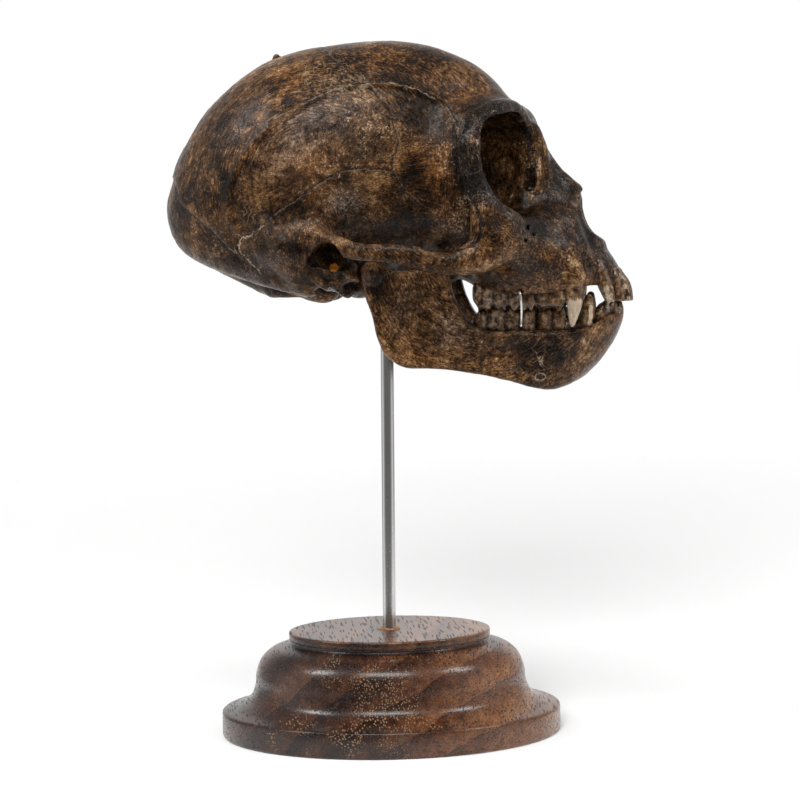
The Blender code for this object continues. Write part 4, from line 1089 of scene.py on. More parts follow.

# Stains, and two painted patches of light, seen from the side: place, radius, then how pale (negative is
# dark), how grey and how warm
BONE_STAINS = [
    (-2.5, 143.5, 5.5, 0.55, 0.25, 0), (3, 138.5, 5, 0.50, 0.10, 0.1), (-6, 131.5, 6, 0.35, 0, 0.2),
    (-13, 138, 7, 0.05, 0.75, 0), (-20, 131, 6, 0, 0.35, 0.1), (-5, 121.5, 4.5, 0.35, 0.9, 0),
    (-14, 117.5, 5, 0.2, 0.1, 0.2), (8.5, 127.5, 3, -0.55, 0.2, 0), (12, 139, 5.5, -0.2, 0.4, 0),
    (13.5, 132, 5, 0.1, 0, 1), (17.5, 131, 2.2, 0.45, 0, 0.8), (16, 126, 4, -0.15, 0, 0.8),
    (11.5, 117, 5, -0.6, 0, 0.3), (3.5, 116, 4.5, -0.5, 0.3, 0.2), (15.5, 116.5, 3, 0.25, 0.3, 0),
    (19.5, 118, 3, 0.25, 0.3, 0), (-33, 147, 7, 0, 0.3, 0.3), (-25, 144, 4, -0.35, 0, 0.3),
    (-17, 148, 4.5, 0.1, 0, 0.9), (-27, 137, 5, 0.1, 0, 0.9), (-32, 128, 2.5, -0.5, 0.2, 0),
    (-40, 132, 6, 0.15, 0.1, 0.3), (-37, 121, 4.5, -0.4, 0.1, 0), (-47.5, 118, 6.5, -0.1, 0.8, 0),
    (-36, 110.5, 6, 0, 0.6, 0.2), (-27.5, 105.5, 5, 0, 0.7, 0), (-22.5, 110.5, 4, -0.2, 0.4, 0.1),
    (-17, 110.5, 3.5, -0.3, 0.4, 0.1), (10, 151, 7, -0.68, 0.2, 0.5), (22, 146, 6, 0.05, 0.1, 0.5),
    (1, 153.5, 5, 0.1, 0, 0.6), (33, 106, 4, -0.25, 0.2, 0), (39.5, 106.5, 3.5, 0, 0, 0.6),
    # The patch at (33.6, 131.5) is a painted pool of light on the eye socket's inner wall.
    (33.6, 131.5, 4, 0.5, 0, 0.3), (34.4, 126.4, 2, 0.35, 0, 0.4), (31, 107, 3, -0.1, 0, 0.5),
    # The spot at (23.6, 134.6) is a painted highlight on the eye socket's outer rim.
    (23.6, 134.6, 0.9, 0.5, 0, 0.5), (18.5, 119, 4.2, 0.6, 0, 0.5), (20.6, 122.6, 2.4, 0.5, 0.1, 0.3),
    (14, 115, 3.2, 0.45, 0.2, 0.2), (14.6, 134.5, 4.2, 0.55, 0, 0.8), (14.8, 128, 3, 0.4, 0, 0.7),
    (29.7, 117.9, 0.9, 0.6, 0, 0.3), (26, 118.5, 3, 0.1, 0, 0.6), (27, 110, 3, 0.1, 0, 0.4),
    (35.5, 115.2, 3.4, -0.6, 0.8, 0), (52, 109, 3.5, -0.4, 0.8, 0), (48, 113.5, 3, -0.45, 0.8, 0),
    (43, 118, 4, -0.7, 0.3, 0), (41.5, 123, 2.5, -0.25, 0.3, 0.3), (10.4, 127.5, 4.2, -0.85, 0, 0.5),
    (28, 114.4, 3.5, -0.45, 0.15, 0.2), (38, 109, 5, -0.40, 0.1, 0.3), (-12.2, 129, 6, 0.5, -0.3, 0.6),
    (-27, 140, 4.5, 0.35, -0.3, 0.3), (-38, 118, 5.5, 0.55, -0.5, 0.5), (4.6, 111, 5, -0.2, 0, 0.1),
]

# Rubbed streaks and three painted glints, each a line of the side view, its width and how pale it is, and
# round zones of small marks
BONE_STREAKS = [
    ([(40, 111.6), (42.6, 109.4), (45.5, 106.3)], 0.7, 0.8), ([(45.2, 107.3), (47.2, 103.4)], 0.6, 0.7),
    ([(48.5, 108.6), (50.1, 106.3)], 0.5, 0.7), ([(26, 106.6), (28.4, 108.2)], 0.6, 0.8),
    ([(17.6, 134), (17, 130), (17.4, 126)], 0.8, 0.4), ([(22, 107), (27, 105.6)], 0.5, 0.5),
    # The streak at (23, 134.8) on the eye socket's outer rim, and those at (30.2, 121.4) and (35.5, 124.2) on
    # the socket's floor, are painted glints.
    ([(23, 134.8), (24.4, 134.2)], 0.5, 0.6), ([(30.2, 121.4), (31, 123.2)], 0.4, 0.9),
    ([(35.5, 124.2), (35.2, 121.6)], 0.4, 0.9), ([(37.2, 130.6), (36.6, 124.6)], 0.35, 0.9),
    ([(-30, 125.5), (-26.5, 121.5)], 0.6, 0.6), ([(-33.5, 131), (-31, 126), (-29, 121.5)], 1, -0.6),
    ([(-22, 141.5), (-17, 145.5)], 0.7, -0.6),
]
WORM_ZONES = [(-12, 150.5, 4), (-6, 147, 4.5), (0, 146, 3), (-25.5, 120.5, 3)]
CRACK_ZONES = [
    (34, 133.5, 3.5), (33, 128, 3), (40, 126.5, 3.5), (22, 131, 4.5), (24, 121, 3.5), (9, 124, 4),
    (48, 110, 3), (28, 142, 3),
]
WAX_ZONES = [(-8, 107.6, 1.1)]

# The bone's fibres run round the braincase, but fan out below an arched edge on its side and on the face
FAN_TOP_X = -2
FAN_TOP_Z = 141
FAN_ARCH = 0.022
FAN_FRONT_X = 14
FAN_FLOOR_Z = 105
FACE_FROM_X = 26
FACE_FAN_Z = (116, 122)


def round_patch(spots, x, z, radius):
    """One at a place of the side view, fading to nought about this far from it."""
    return np.exp(-((spots[:, 0] - x) ** 2 + (spots[:, 2] - z) ** 2) / radius ** 2)


def stains(spots, patches):
    """The sum of the patches at each point: paleness, greyness and warmth."""
    pale, grey, warm = np.zeros((3, len(spots)))
    for x, z, radius, light, dull, glow in patches:
        share = round_patch(spots, x, z, radius)
        pale += light * share
        grey += dull * share
        warm += glow * share
    return pale, np.clip(grey, 0, 1), np.clip(warm, 0, 1)


def streaks(spots, lines):
    """How pale the streaks make each point."""
    light = np.zeros(len(spots))
    for line, width, strong in lines:
        light += strong * np.exp(-(line_distance(spots, line) / width) ** 2)
    return light


def zones(spots, rounds):
    """How far each point lies in any of the round zones, from 0 outside to 1 in the middle."""
    share = np.zeros(len(spots))
    for x, z, radius in rounds:
        share += round_patch(spots, x, z, radius)
    return np.clip(share, 0, 1)


def seams(spots, lines):
    """The nearest seam at each point: its signed distance, its strength here and its paleness."""
    gap = np.full(len(spots), SEAM_FAR)
    strength, paleness = np.zeros((2, len(spots)))
    for line, start, strong, pale in lines:
        here = np.where(spots[:, 1] >= start, line_distance(spots, line), SEAM_FAR)
        closer = np.abs(here) < np.abs(gap)
        gap = np.where(closer, here, gap)
        strength = np.where(closer, strong * fade(np.abs(here), 1.2, 2.6), strength)
        paleness = np.where(closer, pale, paleness)
    return gap, strength, paleness


def layer(paint, name):
    """The three parts of a layer of values that was kept with the mesh."""
    whole = paint.node("Attribute", {"attribute_name": name}, {}, "Vector")
    return [whole.part(axis) for axis in "XYZ"]


def bone_finish(name, brightness):
    """Stained bone, with painted shade in its hollows and creases. It reads the stains, seams, fibres and
    hollows kept with the mesh.
    """
    made, paint = new_finish(name)
    at = paint.place_in_mm()
    pale, grey, warm = layer(paint, "stain")
    crease, occlusion_shade, dark_rim = layer(paint, "form")
    seam_gap, seam_strength, seam_pale = layer(paint, "seam")
    round_way, out_way, crossed = layer(paint, "fibre")
    worms, cracks, wax = layer(paint, "mark")

    def fibres(along, across, length, width):
        spot = {0: along / length, 1: across / width, 2: at.part("Y") / width}
        return paint.node("CombineXYZ", {}, spot).speckle(1.0, 3.0, 0.6)

    cloud = at.speckle(13.0, 3.0, 0.6)
    blotch = at.speckle(3.8, 5.0, 0.70)
    rub = at.speckle(1.2, 4.0, 0.75)
    follow = fibres(round_way, out_way, 4.2, 0.30)
    spread = fibres(out_way, round_way, 3.8, 0.30)
    fibre = follow * (1 - crossed) + spread * crossed
    fleck = at.speckle(0.55, 3.0, 0.75)
    grain = at.speckle(0.30, 2.0, 0.7)

    tone = 0.335 + brightness + 1.0 * (cloud - 0.5) + 1.0 * (blotch - 0.5) + 0.9 * (rub - 0.5)
    # Painted shade: where the bone closes in, the fibres fade and the tone darkens, and creases darken too.
    # Sharp edges come out lighter.
    tone = tone + 1.3 * (fibre - 0.5) * (1 - 0.7 * occlusion_shade) + 0.6 * (fleck - 0.5) + 0.4 * (grain - 0.5)
    tone = tone + 0.28 * pale - 0.30 * occlusion_shade - 0.18 * crease.between(0.1, 0.9)
    tone = tone + 0.12 * crease.between(-0.1, -0.8) - 0.18 * dark_rim
    brown = tone.ramp(
        (0.0, (0.003, 0.0018, 0.001)), (0.22, (0.022, 0.010, 0.0036)), (0.42, (0.085, 0.038, 0.013)),
        (0.6, (0.215, 0.105, 0.040)), (0.8, (0.430, 0.260, 0.125)), (1.0, (0.720, 0.570, 0.420)),
    )
    # Grey is mixed in where the stain layer says: grey stains, and on the rims a painted grey sheen.
    level = paint.node("RGBToBW", {}, {0: brown})
    ashen = paint.node("CombineColor", {}, {0: level * 1.05, 1: level * 0.95, 2: level * 0.93})
    dull = (grey * (0.7 + 0.8 * (blotch - 0.5))).between(0.0, 1.0)
    bone = paint.colour(dull, brown, ashen)
    bone = paint.colour(warm * 0.7, bone, (1.12, 0.90, 0.55), "MULTIPLY")

    scratch = fibre.between(0.57, 0.66) * blotch.between(0.44, 0.58)
    # Pale flecks, and on the rims painted glints.
    pale_fleck_and_glint = (fleck + 0.10 * pale + 0.03 * dark_rim + 0.5 * (blotch - 0.5)).between(0.64, 0.72)
    dark_fleck = fleck.between(0.42, 0.32) * blotch.between(0.62, 0.40)
    line = seam_gap + (at.speckle(1.3, 4.0, 0.75) - 0.5) * 2.3
    broken = at.speckle(2.2, 3.0, 0.7)
    wide = 0.06 + 0.20 * seam_strength
    # Dark seam lines: open cracks, and along the bar's back edge a painted shadow line.
    crack_and_shade_line = abs(line + 0.14).between(wide, 0.3 * wide) * seam_strength.between(0.0, 0.8)
    crack_and_shade_line = crack_and_shade_line * broken.between(0.28, 0.46)
    filling = abs(line - 0.06).between(0.26, 0.05) * seam_strength * seam_pale * broken.between(0.62, 0.45)
    worm = abs(at.speckle(1.7, 2.0, 0.5) - 0.5).between(0.045, 0.012) * worms.between(0.25, 0.9)
    worm = worm * broken.between(0.62, 0.42)
    shake = paint.node("TexNoise", {}, {"Vector": at, "Scale": 0.7, "Detail": 3.0}, "Color")
    cells = {"Vector": at.vector("ADD", shake), "Scale": 0.30}
    crazing = paint.node("TexVoronoi", {"feature": "DISTANCE_TO_EDGE"}, cells, "Distance")
    crazed = crazing.between(0.035, 0.008) * broken.between(0.46, 0.58) * (0.35 + 0.65 * dark_rim)
    split = abs(at.speckle(2.4, 4.0, 0.55) - 0.5).between(0.028, 0.008) * cracks.between(0.2, 0.7)
    crazed = crazed.maths("MAXIMUM", crazed, split)
    for share, colour in (
        (scratch * (0.25 + 0.3 * pale), (0.36, 0.25, 0.15)),
        (pale_fleck_and_glint * (0.35 + pale).between(0.0, 0.9) * 0.8, (0.56, 0.44, 0.33)),
        (dark_fleck * 0.8, (0.008, 0.005, 0.004)),
        (crack_and_shade_line * 0.92, (0.007, 0.004, 0.004)),
        (filling, (0.50, 0.38, 0.26)),
        (worm * 0.7, (0.38, 0.26, 0.15)),
        ((wax + rub - 0.5).between(0.35, 0.55), (0.34, 0.125, 0.015)),
        (crazed * 0.85, (0.007, 0.005, 0.004)),
    ):
        bone = paint.colour(share, bone, colour)

    height = 0.5 * fibre + 0.35 * fleck + 0.7 * rub + 0.6 * blotch - 1.6 * crack_and_shade_line + 0.5 * filling
    height = height - 1.0 * crazed + 0.6 * worm - 0.6 * dark_fleck
    gloss = 0.34 - 0.14 * dull - 0.1 * dark_rim + 0.5 * (rub - 0.5) + 0.4 * (blotch - 0.5) + 0.14 * pale
    paint.surface({
        "Base Color": bone, "Roughness": gloss.between(-0.1, 1.0) * 0.55 + 0.10, "IOR": 1.5,
        "Specular IOR Level": 0.20, "Normal": height.relief(0.7, 0.16),
    })
    return made


def fibre_ways(spots, middle, crossed):
    """Places along and across the bone's fibres: round a middle point in the side view, and out from it."""
    dx, dz = spots[:, 0] - middle[0], spots[:, 2] - middle[1]
    return np.arctan2(dx, dz) * 34.0, np.hypot(dx, dz), crossed


def covered(mesh, clays, depth):
    """How far each point is closed in by the bone round it, from 0 in the open to 1 in a deep hole: the
    amount of painted shade there.
    """
    spots, out = places(mesh).astype(float), ways_out(mesh)
    occlusion_shade = np.zeros(len(spots))
    for reach in (0.4 * depth, depth):
        ahead = spots + out * reach
        room = np.minimum.reduce([clay.at(ahead) for clay in clays])
        occlusion_shade += np.clip(1 - room / reach, 0, 1.4)
    return np.clip(occlusion_shade / 2 * 1.1 - 0.05, 0, 1)


cranium_mesh = skull_clay.mesh("skull_bone")
spots = places(cranium_mesh)
rough_zone = fade(strand_gap(right_half(cranium_mesh), NECK_EDGE), 3.0, 9.0)
swell = lumps(spots, *CRANIUM_SWELL) + lumps(spots, *CRANIUM_ROUGHNESS) * (1 + 2.0 * rough_zone)
move_out(cranium_mesh, swell)
cranium_mesh = thinned(cranium_mesh, CRANIUM_TRIANGLES)
half = right_half(cranium_mesh)
pale, grey, warm = stains(half, BONE_STAINS)
# The brow, the eye socket's inner edge and the nose bridge are painted grey, a painted sheen, taken out again
# deep in the socket. The same rims come out darker and glossier in the finish.
rim = 0.9 * fade(strand_gap(half, BROW), 2.4, 4.8) + 0.35 * fade(strand_gap(half, EYE_FLOOR[4:]), 2.0, 4.5)
rim = np.clip(rim + 0.6 * fade(strand_gap(half, NOSE_BRIDGE), 2.6, 5.5), 0, 1)
eye_depth = fade(np.linalg.norm((half - ORBIT_MOUTH) / np.array(ORBIT_RADII), axis=1), 0.8, 1.1)
grey = np.clip(grey + 0.45 * rim - eye_depth, 0, 1)
gap, strength, paleness = seams(half, BONE_SEAMS)
squama, nape = BONE_SEAMS[0], BONE_SEAMS[1]
steps = stepped(half, *squama[:2], height=-0.10, width=5.0) + stepped(half, *nape[:2], height=0.22, width=9.0)
move_out(cranium_mesh, steps - SEAM_DEPTH * strength * fade(np.abs(gap), 0.0, SEAM_WIDTH))
x, _, z = half.T
crossed = (z < FAN_TOP_Z - FAN_ARCH * (x - FAN_TOP_X) ** 2) & (x < FAN_FRONT_X) & (z > FAN_FLOOR_Z)
crossed = soften(cranium_mesh, crossed.astype(float), 20)
crossed = np.where(x > FACE_FROM_X, fade(z, *FACE_FAN_Z), crossed)
occlusion_shade = soften(cranium_mesh, covered(cranium_mesh, [skull_clay], depth=5.0), 3)
record(
    cranium_mesh,
    stain=(pale + streaks(half, BONE_STREAKS), grey, warm),
    mark=(zones(half, WORM_ZONES), zones(half, CRACK_ZONES), zones(half, WAX_ZONES)),
    seam=(gap, strength, paleness),
    fibre=fibre_ways(half, BRAIN_MIDDLE, crossed),
    form=(hollowness(cranium_mesh, rounds=1, radius=1.2), occlusion_shade, rim),
)
stand("skull_bone", cranium_mesh, bone_finish("stained bone", 0.0), "bone", "cranium")


# Upper teeth: two incisors, a canine and five cheek teeth a side, standing in their sockets. Each cheek
# tooth is two cross ridges with a cusp at each end. The enamel is stained like the bone, and the canine and
# the incisors have kept their cream crowns.
TOOTH_STEP = 0.2
TOOTH_SWELL = (0.06, 1.6)
UPPER_CHEEK_TEETH = [(22.1, 26.6, 2), (26.6, 29.8, 2), (29.8, 32.5, 1), (32.5, 35.7, 2), (35.7, 42.9, 2)]
UPPER_ROW = dict(row_out=17.5, turn=0.13, width=5.4, root_z=103.6, tip_z=97.0, lean=0.4)
UPPER_BOX = ((20, 0, 91), (59.6, 20.6, 111))
ROW_BACK_X = 26.5
TOOTH_CORNER = 1.6
TOOTH_BLEND = 0.3
NOTCH_BLEND = 0.6
TOOTH_UNEVENNESS = 0.6
BITE_NOTCH = dict(centre=(21, 14, 97.4), radii=(2.1, 7, 2))
UPPER_CANINE = [
    (44, 12.6, 106, 2.3), (44.2, 13.4, 102.4, 2.55), (44.6, 14.2, 99.6, 2), (44.5, 14.7, 96.9, 1.45),
    (44.2, 14.9, 94.8, 0.95), (44, 14.9, 93.4, 0.45),
]
UPPER_SIDE_INCISOR = [
    (50, 7.9, 107.2, 0.9), (50.5, 8.4, 104.8, 1.3), (51.2, 8.4, 102.4, 1.6), (52, 8, 100.2, 1.5),
    (52.6, 7.7, 98.3, 1.05),
]
UPPER_INCISORS = [
    [(54, 1.6, 104.6, 1), (55.4, 1.6, 102.6, 1.2), (56.2, 1.5, 100.6, 1.15), (56.5, 1.4, 98.2, 1.05)],
    [(53.8, 3, 104.4, 1), (55.1, 3.2, 102.4, 1.2), (56, 3.4, 100.5, 1.1), (56.3, 3.5, 98.2, 1)],
    [(52.6, 4.4, 105, 1.2), (53.4, 4.6, 102.6, 1.4), (54.2, 4.6, 100.4, 1.4), (54.6, 4.4, 98.4, 1.2)],
]
UPPER_INCISOR_BLEND = 0.5
UPPER_INCISOR_WEAR = ((56.4, 3.4, 96), (4.2, 5.4, 2.2), 0.3)
UPPER_GUM = [
    (25, 13.6, 104.2, 1.6), (34, 12.8, 104, 1.6), (40, 11.2, 104.6, 1.6), (44.6, 10.6, 105, 1.6),
    (49.4, 6.4, 105.4, 1.4), (53.6, 2.6, 104.8, 1.2), (54, 0, 104.6, 1.2),
]


def cusp(x, out, root_z, tip_z, fat, lean):
    """One cusp, from the root to its tip. Lean is how far the tip lies in from the crown's widest part."""
    rise = root_z - tip_z
    return limb([
        (x, out, root_z, 0.85 * fat), (x, out + 0.1 * lean, root_z - 0.35 * rise, fat),
        (x, out - 0.4 * lean, root_z - 0.68 * rise, 0.86 * fat),
        (x, out - lean, tip_z + 0.08 * rise, 0.48 * fat),
    ], steps=3)


def cheek_tooth_row(clay, teeth, row_out, turn, width, root_z, tip_z, lean):
    """A row of crowns, each a rounded block with a pair of cusps on it for each of its cross ridges."""
    rise = root_z - tip_z
    for start, end, ridges in teeth:
        outer = row_out - turn * max((start + end) / 2 - ROW_BACK_X, 0)
        halves = ((end - start) / 2 + 0.2, width / 2 - 0.45, abs(rise) * 0.47)
        middle = ((start + end) / 2, outer - width / 2, root_z - 0.48 * rise)
        clay.add(block(middle, halves, TOOTH_CORNER), 0.9)
        fat = (end - start) / 2 / ridges
        for i in range(ridges):
            x = start + (2 * i + 1) * fat
            uneven = TOOTH_UNEVENNESS * noise.noise(Vector((x * 0.9, root_z, 0.0)))
            round_fat = fat * (1 + 0.5 * uneven)
            tip = tip_z + uneven * np.sign(rise)
            clay.add(cusp(x, outer - fat + 0.5 * uneven, root_z, tip, round_fat, lean), 0.6)
            clay.add(cusp(x, outer - width + fat, root_z, tip_z, fat, -0.4), 0.5)


def enamel_finish(name):
    """Stained enamel, with painted shade in its hollows and creases. The stain layer says how cream each
    place is and where a grey sheen is painted.
    """
    made, paint = new_finish(name)
    at = paint.place_in_mm()
    cream, grey, _ = layer(paint, "stain")
    crease, hollow, _ = layer(paint, "form")
    cloud = at.speckle(1.5, 4.0, 0.65)
    hair = at.grain((0.3, 0.3, 2.4))
    grit = at.speckle(0.5, 4.0, 0.7)
    tone = 0.52 + 2.0 * (cloud - 0.5) + 0.6 * (hair - 0.5) + 0.9 * (grit - 0.5)
    # Painted shade: darker in the creases and where the teeth are closed in.
    tone = tone - 0.28 * hollow.between(0.1, 0.9) - 0.25 * crease.between(0.1, 0.8)
    brown = tone.ramp(
        (0.0, (0.004, 0.0025, 0.0015)), (0.25, (0.032, 0.015, 0.006)), (0.5, (0.115, 0.056, 0.023)),
        (0.75, (0.270, 0.160, 0.078)), (1.0, (0.480, 0.350, 0.220)),
    )
    ivory = (0.58 + 0.7 * (cloud - 0.5) + 0.7 * (hair - 0.5) - 0.3 * hollow.between(0.3, 1.0)).ramp(
        (0.0, (0.110, 0.055, 0.025)), (0.35, (0.360, 0.240, 0.145)), (0.6, (0.590, 0.460, 0.330)),
        (1.0, (0.800, 0.700, 0.570)),
    )
    edge = (cream + 1.3 * (cloud - 0.5) + 0.7 * (hair - 0.5) + 0.8 * (grit - 0.5)).between(0.30, 0.74)
    enamel = paint.colour(edge * 0.92, brown, ivory)
    # A painted grey sheen on the cheek teeth, left out of the hollows.
    sheen = grey * cloud.between(0.45, 0.72) * (1 - hollow.between(0.1, 0.6))
    paint.surface({
        "Base Color": paint.colour(sheen * 0.6, enamel, (0.42, 0.35, 0.27)), "Roughness": 0.08 + 0.20 * cloud,
        "IOR": 1.55, "Normal": (hair + cloud + 0.5 * grit).relief(0.6, 0.09),
    })
    return made


def dress_teeth(mesh, clays, crowns):
    """Keeps the layers of the teeth. A crown is a strand, how far from it is cream, and how cream it is."""
    move_out(mesh, lumps(places(mesh), *TOOTH_SWELL))
    half = right_half(mesh)
    cream = np.zeros(len(half))
    for strand, reach, amount in crowns:
        cream = np.maximum(cream, amount * fade(strand_gap(half, strand), 0.5 * reach, 1.2 * reach))
    # Where the grey sheen is painted: the back cheek teeth, fading out towards the front.
    sheen = fade(half[:, 0], 29.0, 40.0)
    form = hollowness(mesh, rounds=2, radius=0.6), covered(mesh, clays, depth=1.6), 0 * sheen
    record(mesh, stain=(cream, sheen, 0 * sheen), form=form)


UPPER_CROWNS = [
    ([(44.6, 14.8, 98.2), (44.4, 15.2, 96), (44.1, 15.2, 93)], 2.1, 1),
    ([(51.7, 9.4, 101.4), (52.4, 9, 99.2), (52.6, 8.4, 97.6)], 1, 0.60),
    ([(56, 4.4, 101.4), (56.6, 4.2, 97.8)], 1.1, 0.46),
]
clay = Clay(*UPPER_BOX, TOOTH_STEP)
cheek_tooth_row(clay, UPPER_CHEEK_TEETH, **UPPER_ROW)
clay.add(UPPER_CANINE, TOOTH_BLEND, UPPER_SIDE_INCISOR, TOOTH_BLEND)
for strand in UPPER_INCISORS:
    clay.add(strand, UPPER_INCISOR_BLEND)
clay.cut(block(*UPPER_INCISOR_WEAR), TOOTH_BLEND, BITE_NOTCH, NOTCH_BLEND)
clay.add(UPPER_GUM, TOOTH_BLEND)
upper_mesh = clay.mesh("upper_teeth")
dress_teeth(upper_mesh, [clay, skull_clay], UPPER_CROWNS)
enamel = enamel_finish("stained enamel")
stand("upper_teeth", upper_mesh, enamel, "bone")


# Mandible: the lower jaw, one bone with two upright branches that carry the hinges. It is stained like the
# skull. Its outline is drawn from the side and the curve of its arch from above.
MANDIBLE_STEP = 0.4
JAW_SWELL = (0.14, 5.0)
JAW_ROUGHNESS = (0.06, 1.5)
MANDIBLE_BOX = ((-8, 0, 76), (62, 32, 116))
JAW_PLATE_BOX = ((-8, 0, 78), (60, 30, 115))
JAW_OUTLINE = [
    (-1.6, 107.6), (-1.3, 101.5), (-0.2, 98), (0.9, 93), (2.1, 88.9), (4.3, 86.5), (7.5, 84.9), (12, 84.6),
    (19, 83.8), (27, 82), (33, 80.2), (38, 78.9), (42.3, 79.6), (45.4, 81.2), (48.8, 83.8), (52, 87),
    (54.2, 90.4), (55.1, 93.4), (55, 95.2), (52.5, 95.4), (47, 92.8), (40, 92.2), (32, 92.4), (26.5, 92.4),
    (23.4, 93.2), (21, 95), (18.8, 98.6), (17.5, 102.5), (17.2, 106), (16.6, 108.6), (14.6, 109.4),
    (12.6, 108.6), (10.6, 107.2), (8.4, 106.5), (5.6, 106.4), (3.4, 107.3), (1.6, 108.2),
]
JAW_ARCH = [
    (-6, 26.6), (-1, 25.4), (6, 23.2), (13, 20.6), (20, 18.2), (28, 15.6), (36, 13), (42.4, 10.3), (46.9, 7),
    (49.5, 3.6), (50.2, 0), (49.5, -3.6),
]
JAW_HALF_THICKNESS = [(-5, 1.9), (8, 1.9), (15, 2), (22, 3.2), (30, 3.6), (44, 3.5), (60, 3.5)]
JAW_EDGE = 1.8
CHIN_SLOPE = 0.56
CHIN_HEIGHT = 90.0
CHIN_FROM_X = 34.0
CHIN_TO_X = 46.0
JAW_HINGE = dict(centre=(0.2, 25.2, 106.2), radii=(1.9, 4.4, 2.1), yaw=-8)
CHIN_CORE = [(43.2, 0, 84.4, 3), (45.2, 0, 88.5, 3.2)]
CHEWING_HOLLOW = dict(centre=(11, 26.5, 95), radii=(6, 4.2, 8), yaw=-15)
SIDE_HOLLOW = dict(centre=(30, 20.6, 87), radii=(7, 2.8, 3.2), yaw=-18)


def path_gap(u, v, path):
    """How far points of a flat view are from a path."""
    nearest = np.full(np.broadcast(u, v).shape, 1e9, np.float32)
    for a, b in zip(path, path[1:]):
        du, dv = off_line(u, v, a, b)
        nearest = np.minimum(nearest, du ** 2 + dv ** 2)
    return np.sqrt(nearest)


def outline_distance(outline, x, z):
    """How far points of the side view are from a closed outline, negative inside it."""
    loop = np.vstack([outline, outline[:1]])
    inside = np.zeros(np.broadcast(x, z).shape, bool)
    for a, b in zip(loop, loop[1:]):
        if a[1] != b[1]:
            crosses = (z >= min(a[1], b[1])) & (z < max(a[1], b[1]))
            inside ^= crosses & (x < a[0] + (z - a[1]) * (b[0] - a[0]) / (b[1] - a[1]))
    return np.where(inside, -1, 1) * path_gap(x, z, loop)


def jaw_plate():
    curve = smooth_curve(JAW_ARCH, 4)
    side_view = smooth_curve(JAW_OUTLINE, 3, closed=True)
    along, halves = np.array(JAW_HALF_THICKNESS, float).T

    def distance(x, y, z):
        lean = np.clip((x - CHIN_FROM_X) / (CHIN_TO_X - CHIN_FROM_X), 0, 1)
        plate = path_gap(x - CHIN_SLOPE * (z - CHIN_HEIGHT) * lean, y, curve) - np.interp(x, along, halves)
        side = outline_distance(side_view, x[:, 0, :], z[:, 0, :])[:, None, :]
        return smooth_max(plate, side, JAW_EDGE)

    return distance, *JAW_PLATE_BOX


JAW_STAINS = [
    (18.4, 96, 2.6, 0.6, 0.3, 0), (16, 92.5, 4, 0.4, 0.4, 0), (20.5, 91, 2.5, 0.35, 0.4, 0),
    (6, 100, 5, -0.25, 0.2, 0), (8, 90, 4, 0.1, 0, 0.5), (12, 86, 3, 0.1, 0, 0.7),
    (27, 85, 3.5, 0.15, 0, 0.5), (33, 88, 3, -0.3, 0.5, 0), (39, 88.5, 4, -0.5, 0.6, 0),
    (45, 90.5, 2.5, -0.3, 0.2, 0), (46.8, 88.8, 1.4, 0.55, 0, 0.2), (49.5, 90.5, 1.2, 0.4, 0, 0.4),
    (45.5, 84, 2, 0.35, 0, 0.2), (36.8, 86.2, 0.8, 0.6, 0, 0), (36.7, 82, 1, 0.6, 0, 0),
    (52, 92, 1.4, 0.35, 0, 0.4), (23.5, 91, 5, 0.35, 0.1, 0.1), (6.8, 97.8, 5, 0.25, 0, 0.1),
    (39, 80.8, 3, 0.1, 0.2, 0), (0.5, 93, 3, -0.1, 0.1, 0.4),
]
JAW_SEAMS = [
    ([(35.8, 87.2), (36.5, 86), (36.8, 84.9), (37.4, 86.3)], 4, 0.7, 1),
    ([(35.6, 82.2), (36.4, 82.6), (37.4, 82.4), (37.8, 81.8), (36.8, 81.4), (35.8, 81.7)], 4, 0.8, 1),
    ([(31.5, 92), (36, 91.4), (40, 91.6), (43, 91)], 6, 0.5, 0.3),
]
JAW_FIBRE_MIDDLE = (24, 110)
jaw_clay = Clay(*MANDIBLE_BOX, MANDIBLE_STEP)
jaw_clay.add(jaw_plate(), 0, JAW_HINGE, 2, CHIN_CORE, 3)
jaw_clay.cut(CHEWING_HOLLOW, 3, SIDE_HOLLOW, 3)
jaw_clay.drill((WIRE_X, 14.0, WIRE_BOTTOM_Z), (WIRE_X, 19.0, WIRE_BOTTOM_Z), WIRE_HOLE_RADIUS, DRILL_EDGE)
jaw_mesh = jaw_clay.mesh("jaw_bone")
spots = places(jaw_mesh)
move_out(jaw_mesh, lumps(spots, *JAW_SWELL) + lumps(spots, *JAW_ROUGHNESS))
half = right_half(jaw_mesh)
pale, grey, warm = stains(half, JAW_STAINS)
# The jaw's faces turned towards the midline are painted darker, a painted shade.
inner = fade(ways_out(jaw_mesh)[:, 1] * np.sign(places(jaw_mesh)[:, 1]), -0.5, 0.2)
occlusion_shade = soften(jaw_mesh, covered(jaw_mesh, [jaw_clay, skull_clay], depth=4.0), 3)
nought = 0 * pale
record(
    jaw_mesh,
    stain=(pale - 0.8 * inner, grey, warm),
    mark=(nought, nought, nought),
    seam=seams(half, JAW_SEAMS),
    fibre=fibre_ways(half, JAW_FIBRE_MIDDLE, nought),
    form=(hollowness(jaw_mesh, rounds=1, radius=1.2), occlusion_shade, nought),
)
stand("jaw_bone", jaw_mesh, bone_finish("stained jaw bone", -0.02), "jaw_bone", "mandible")


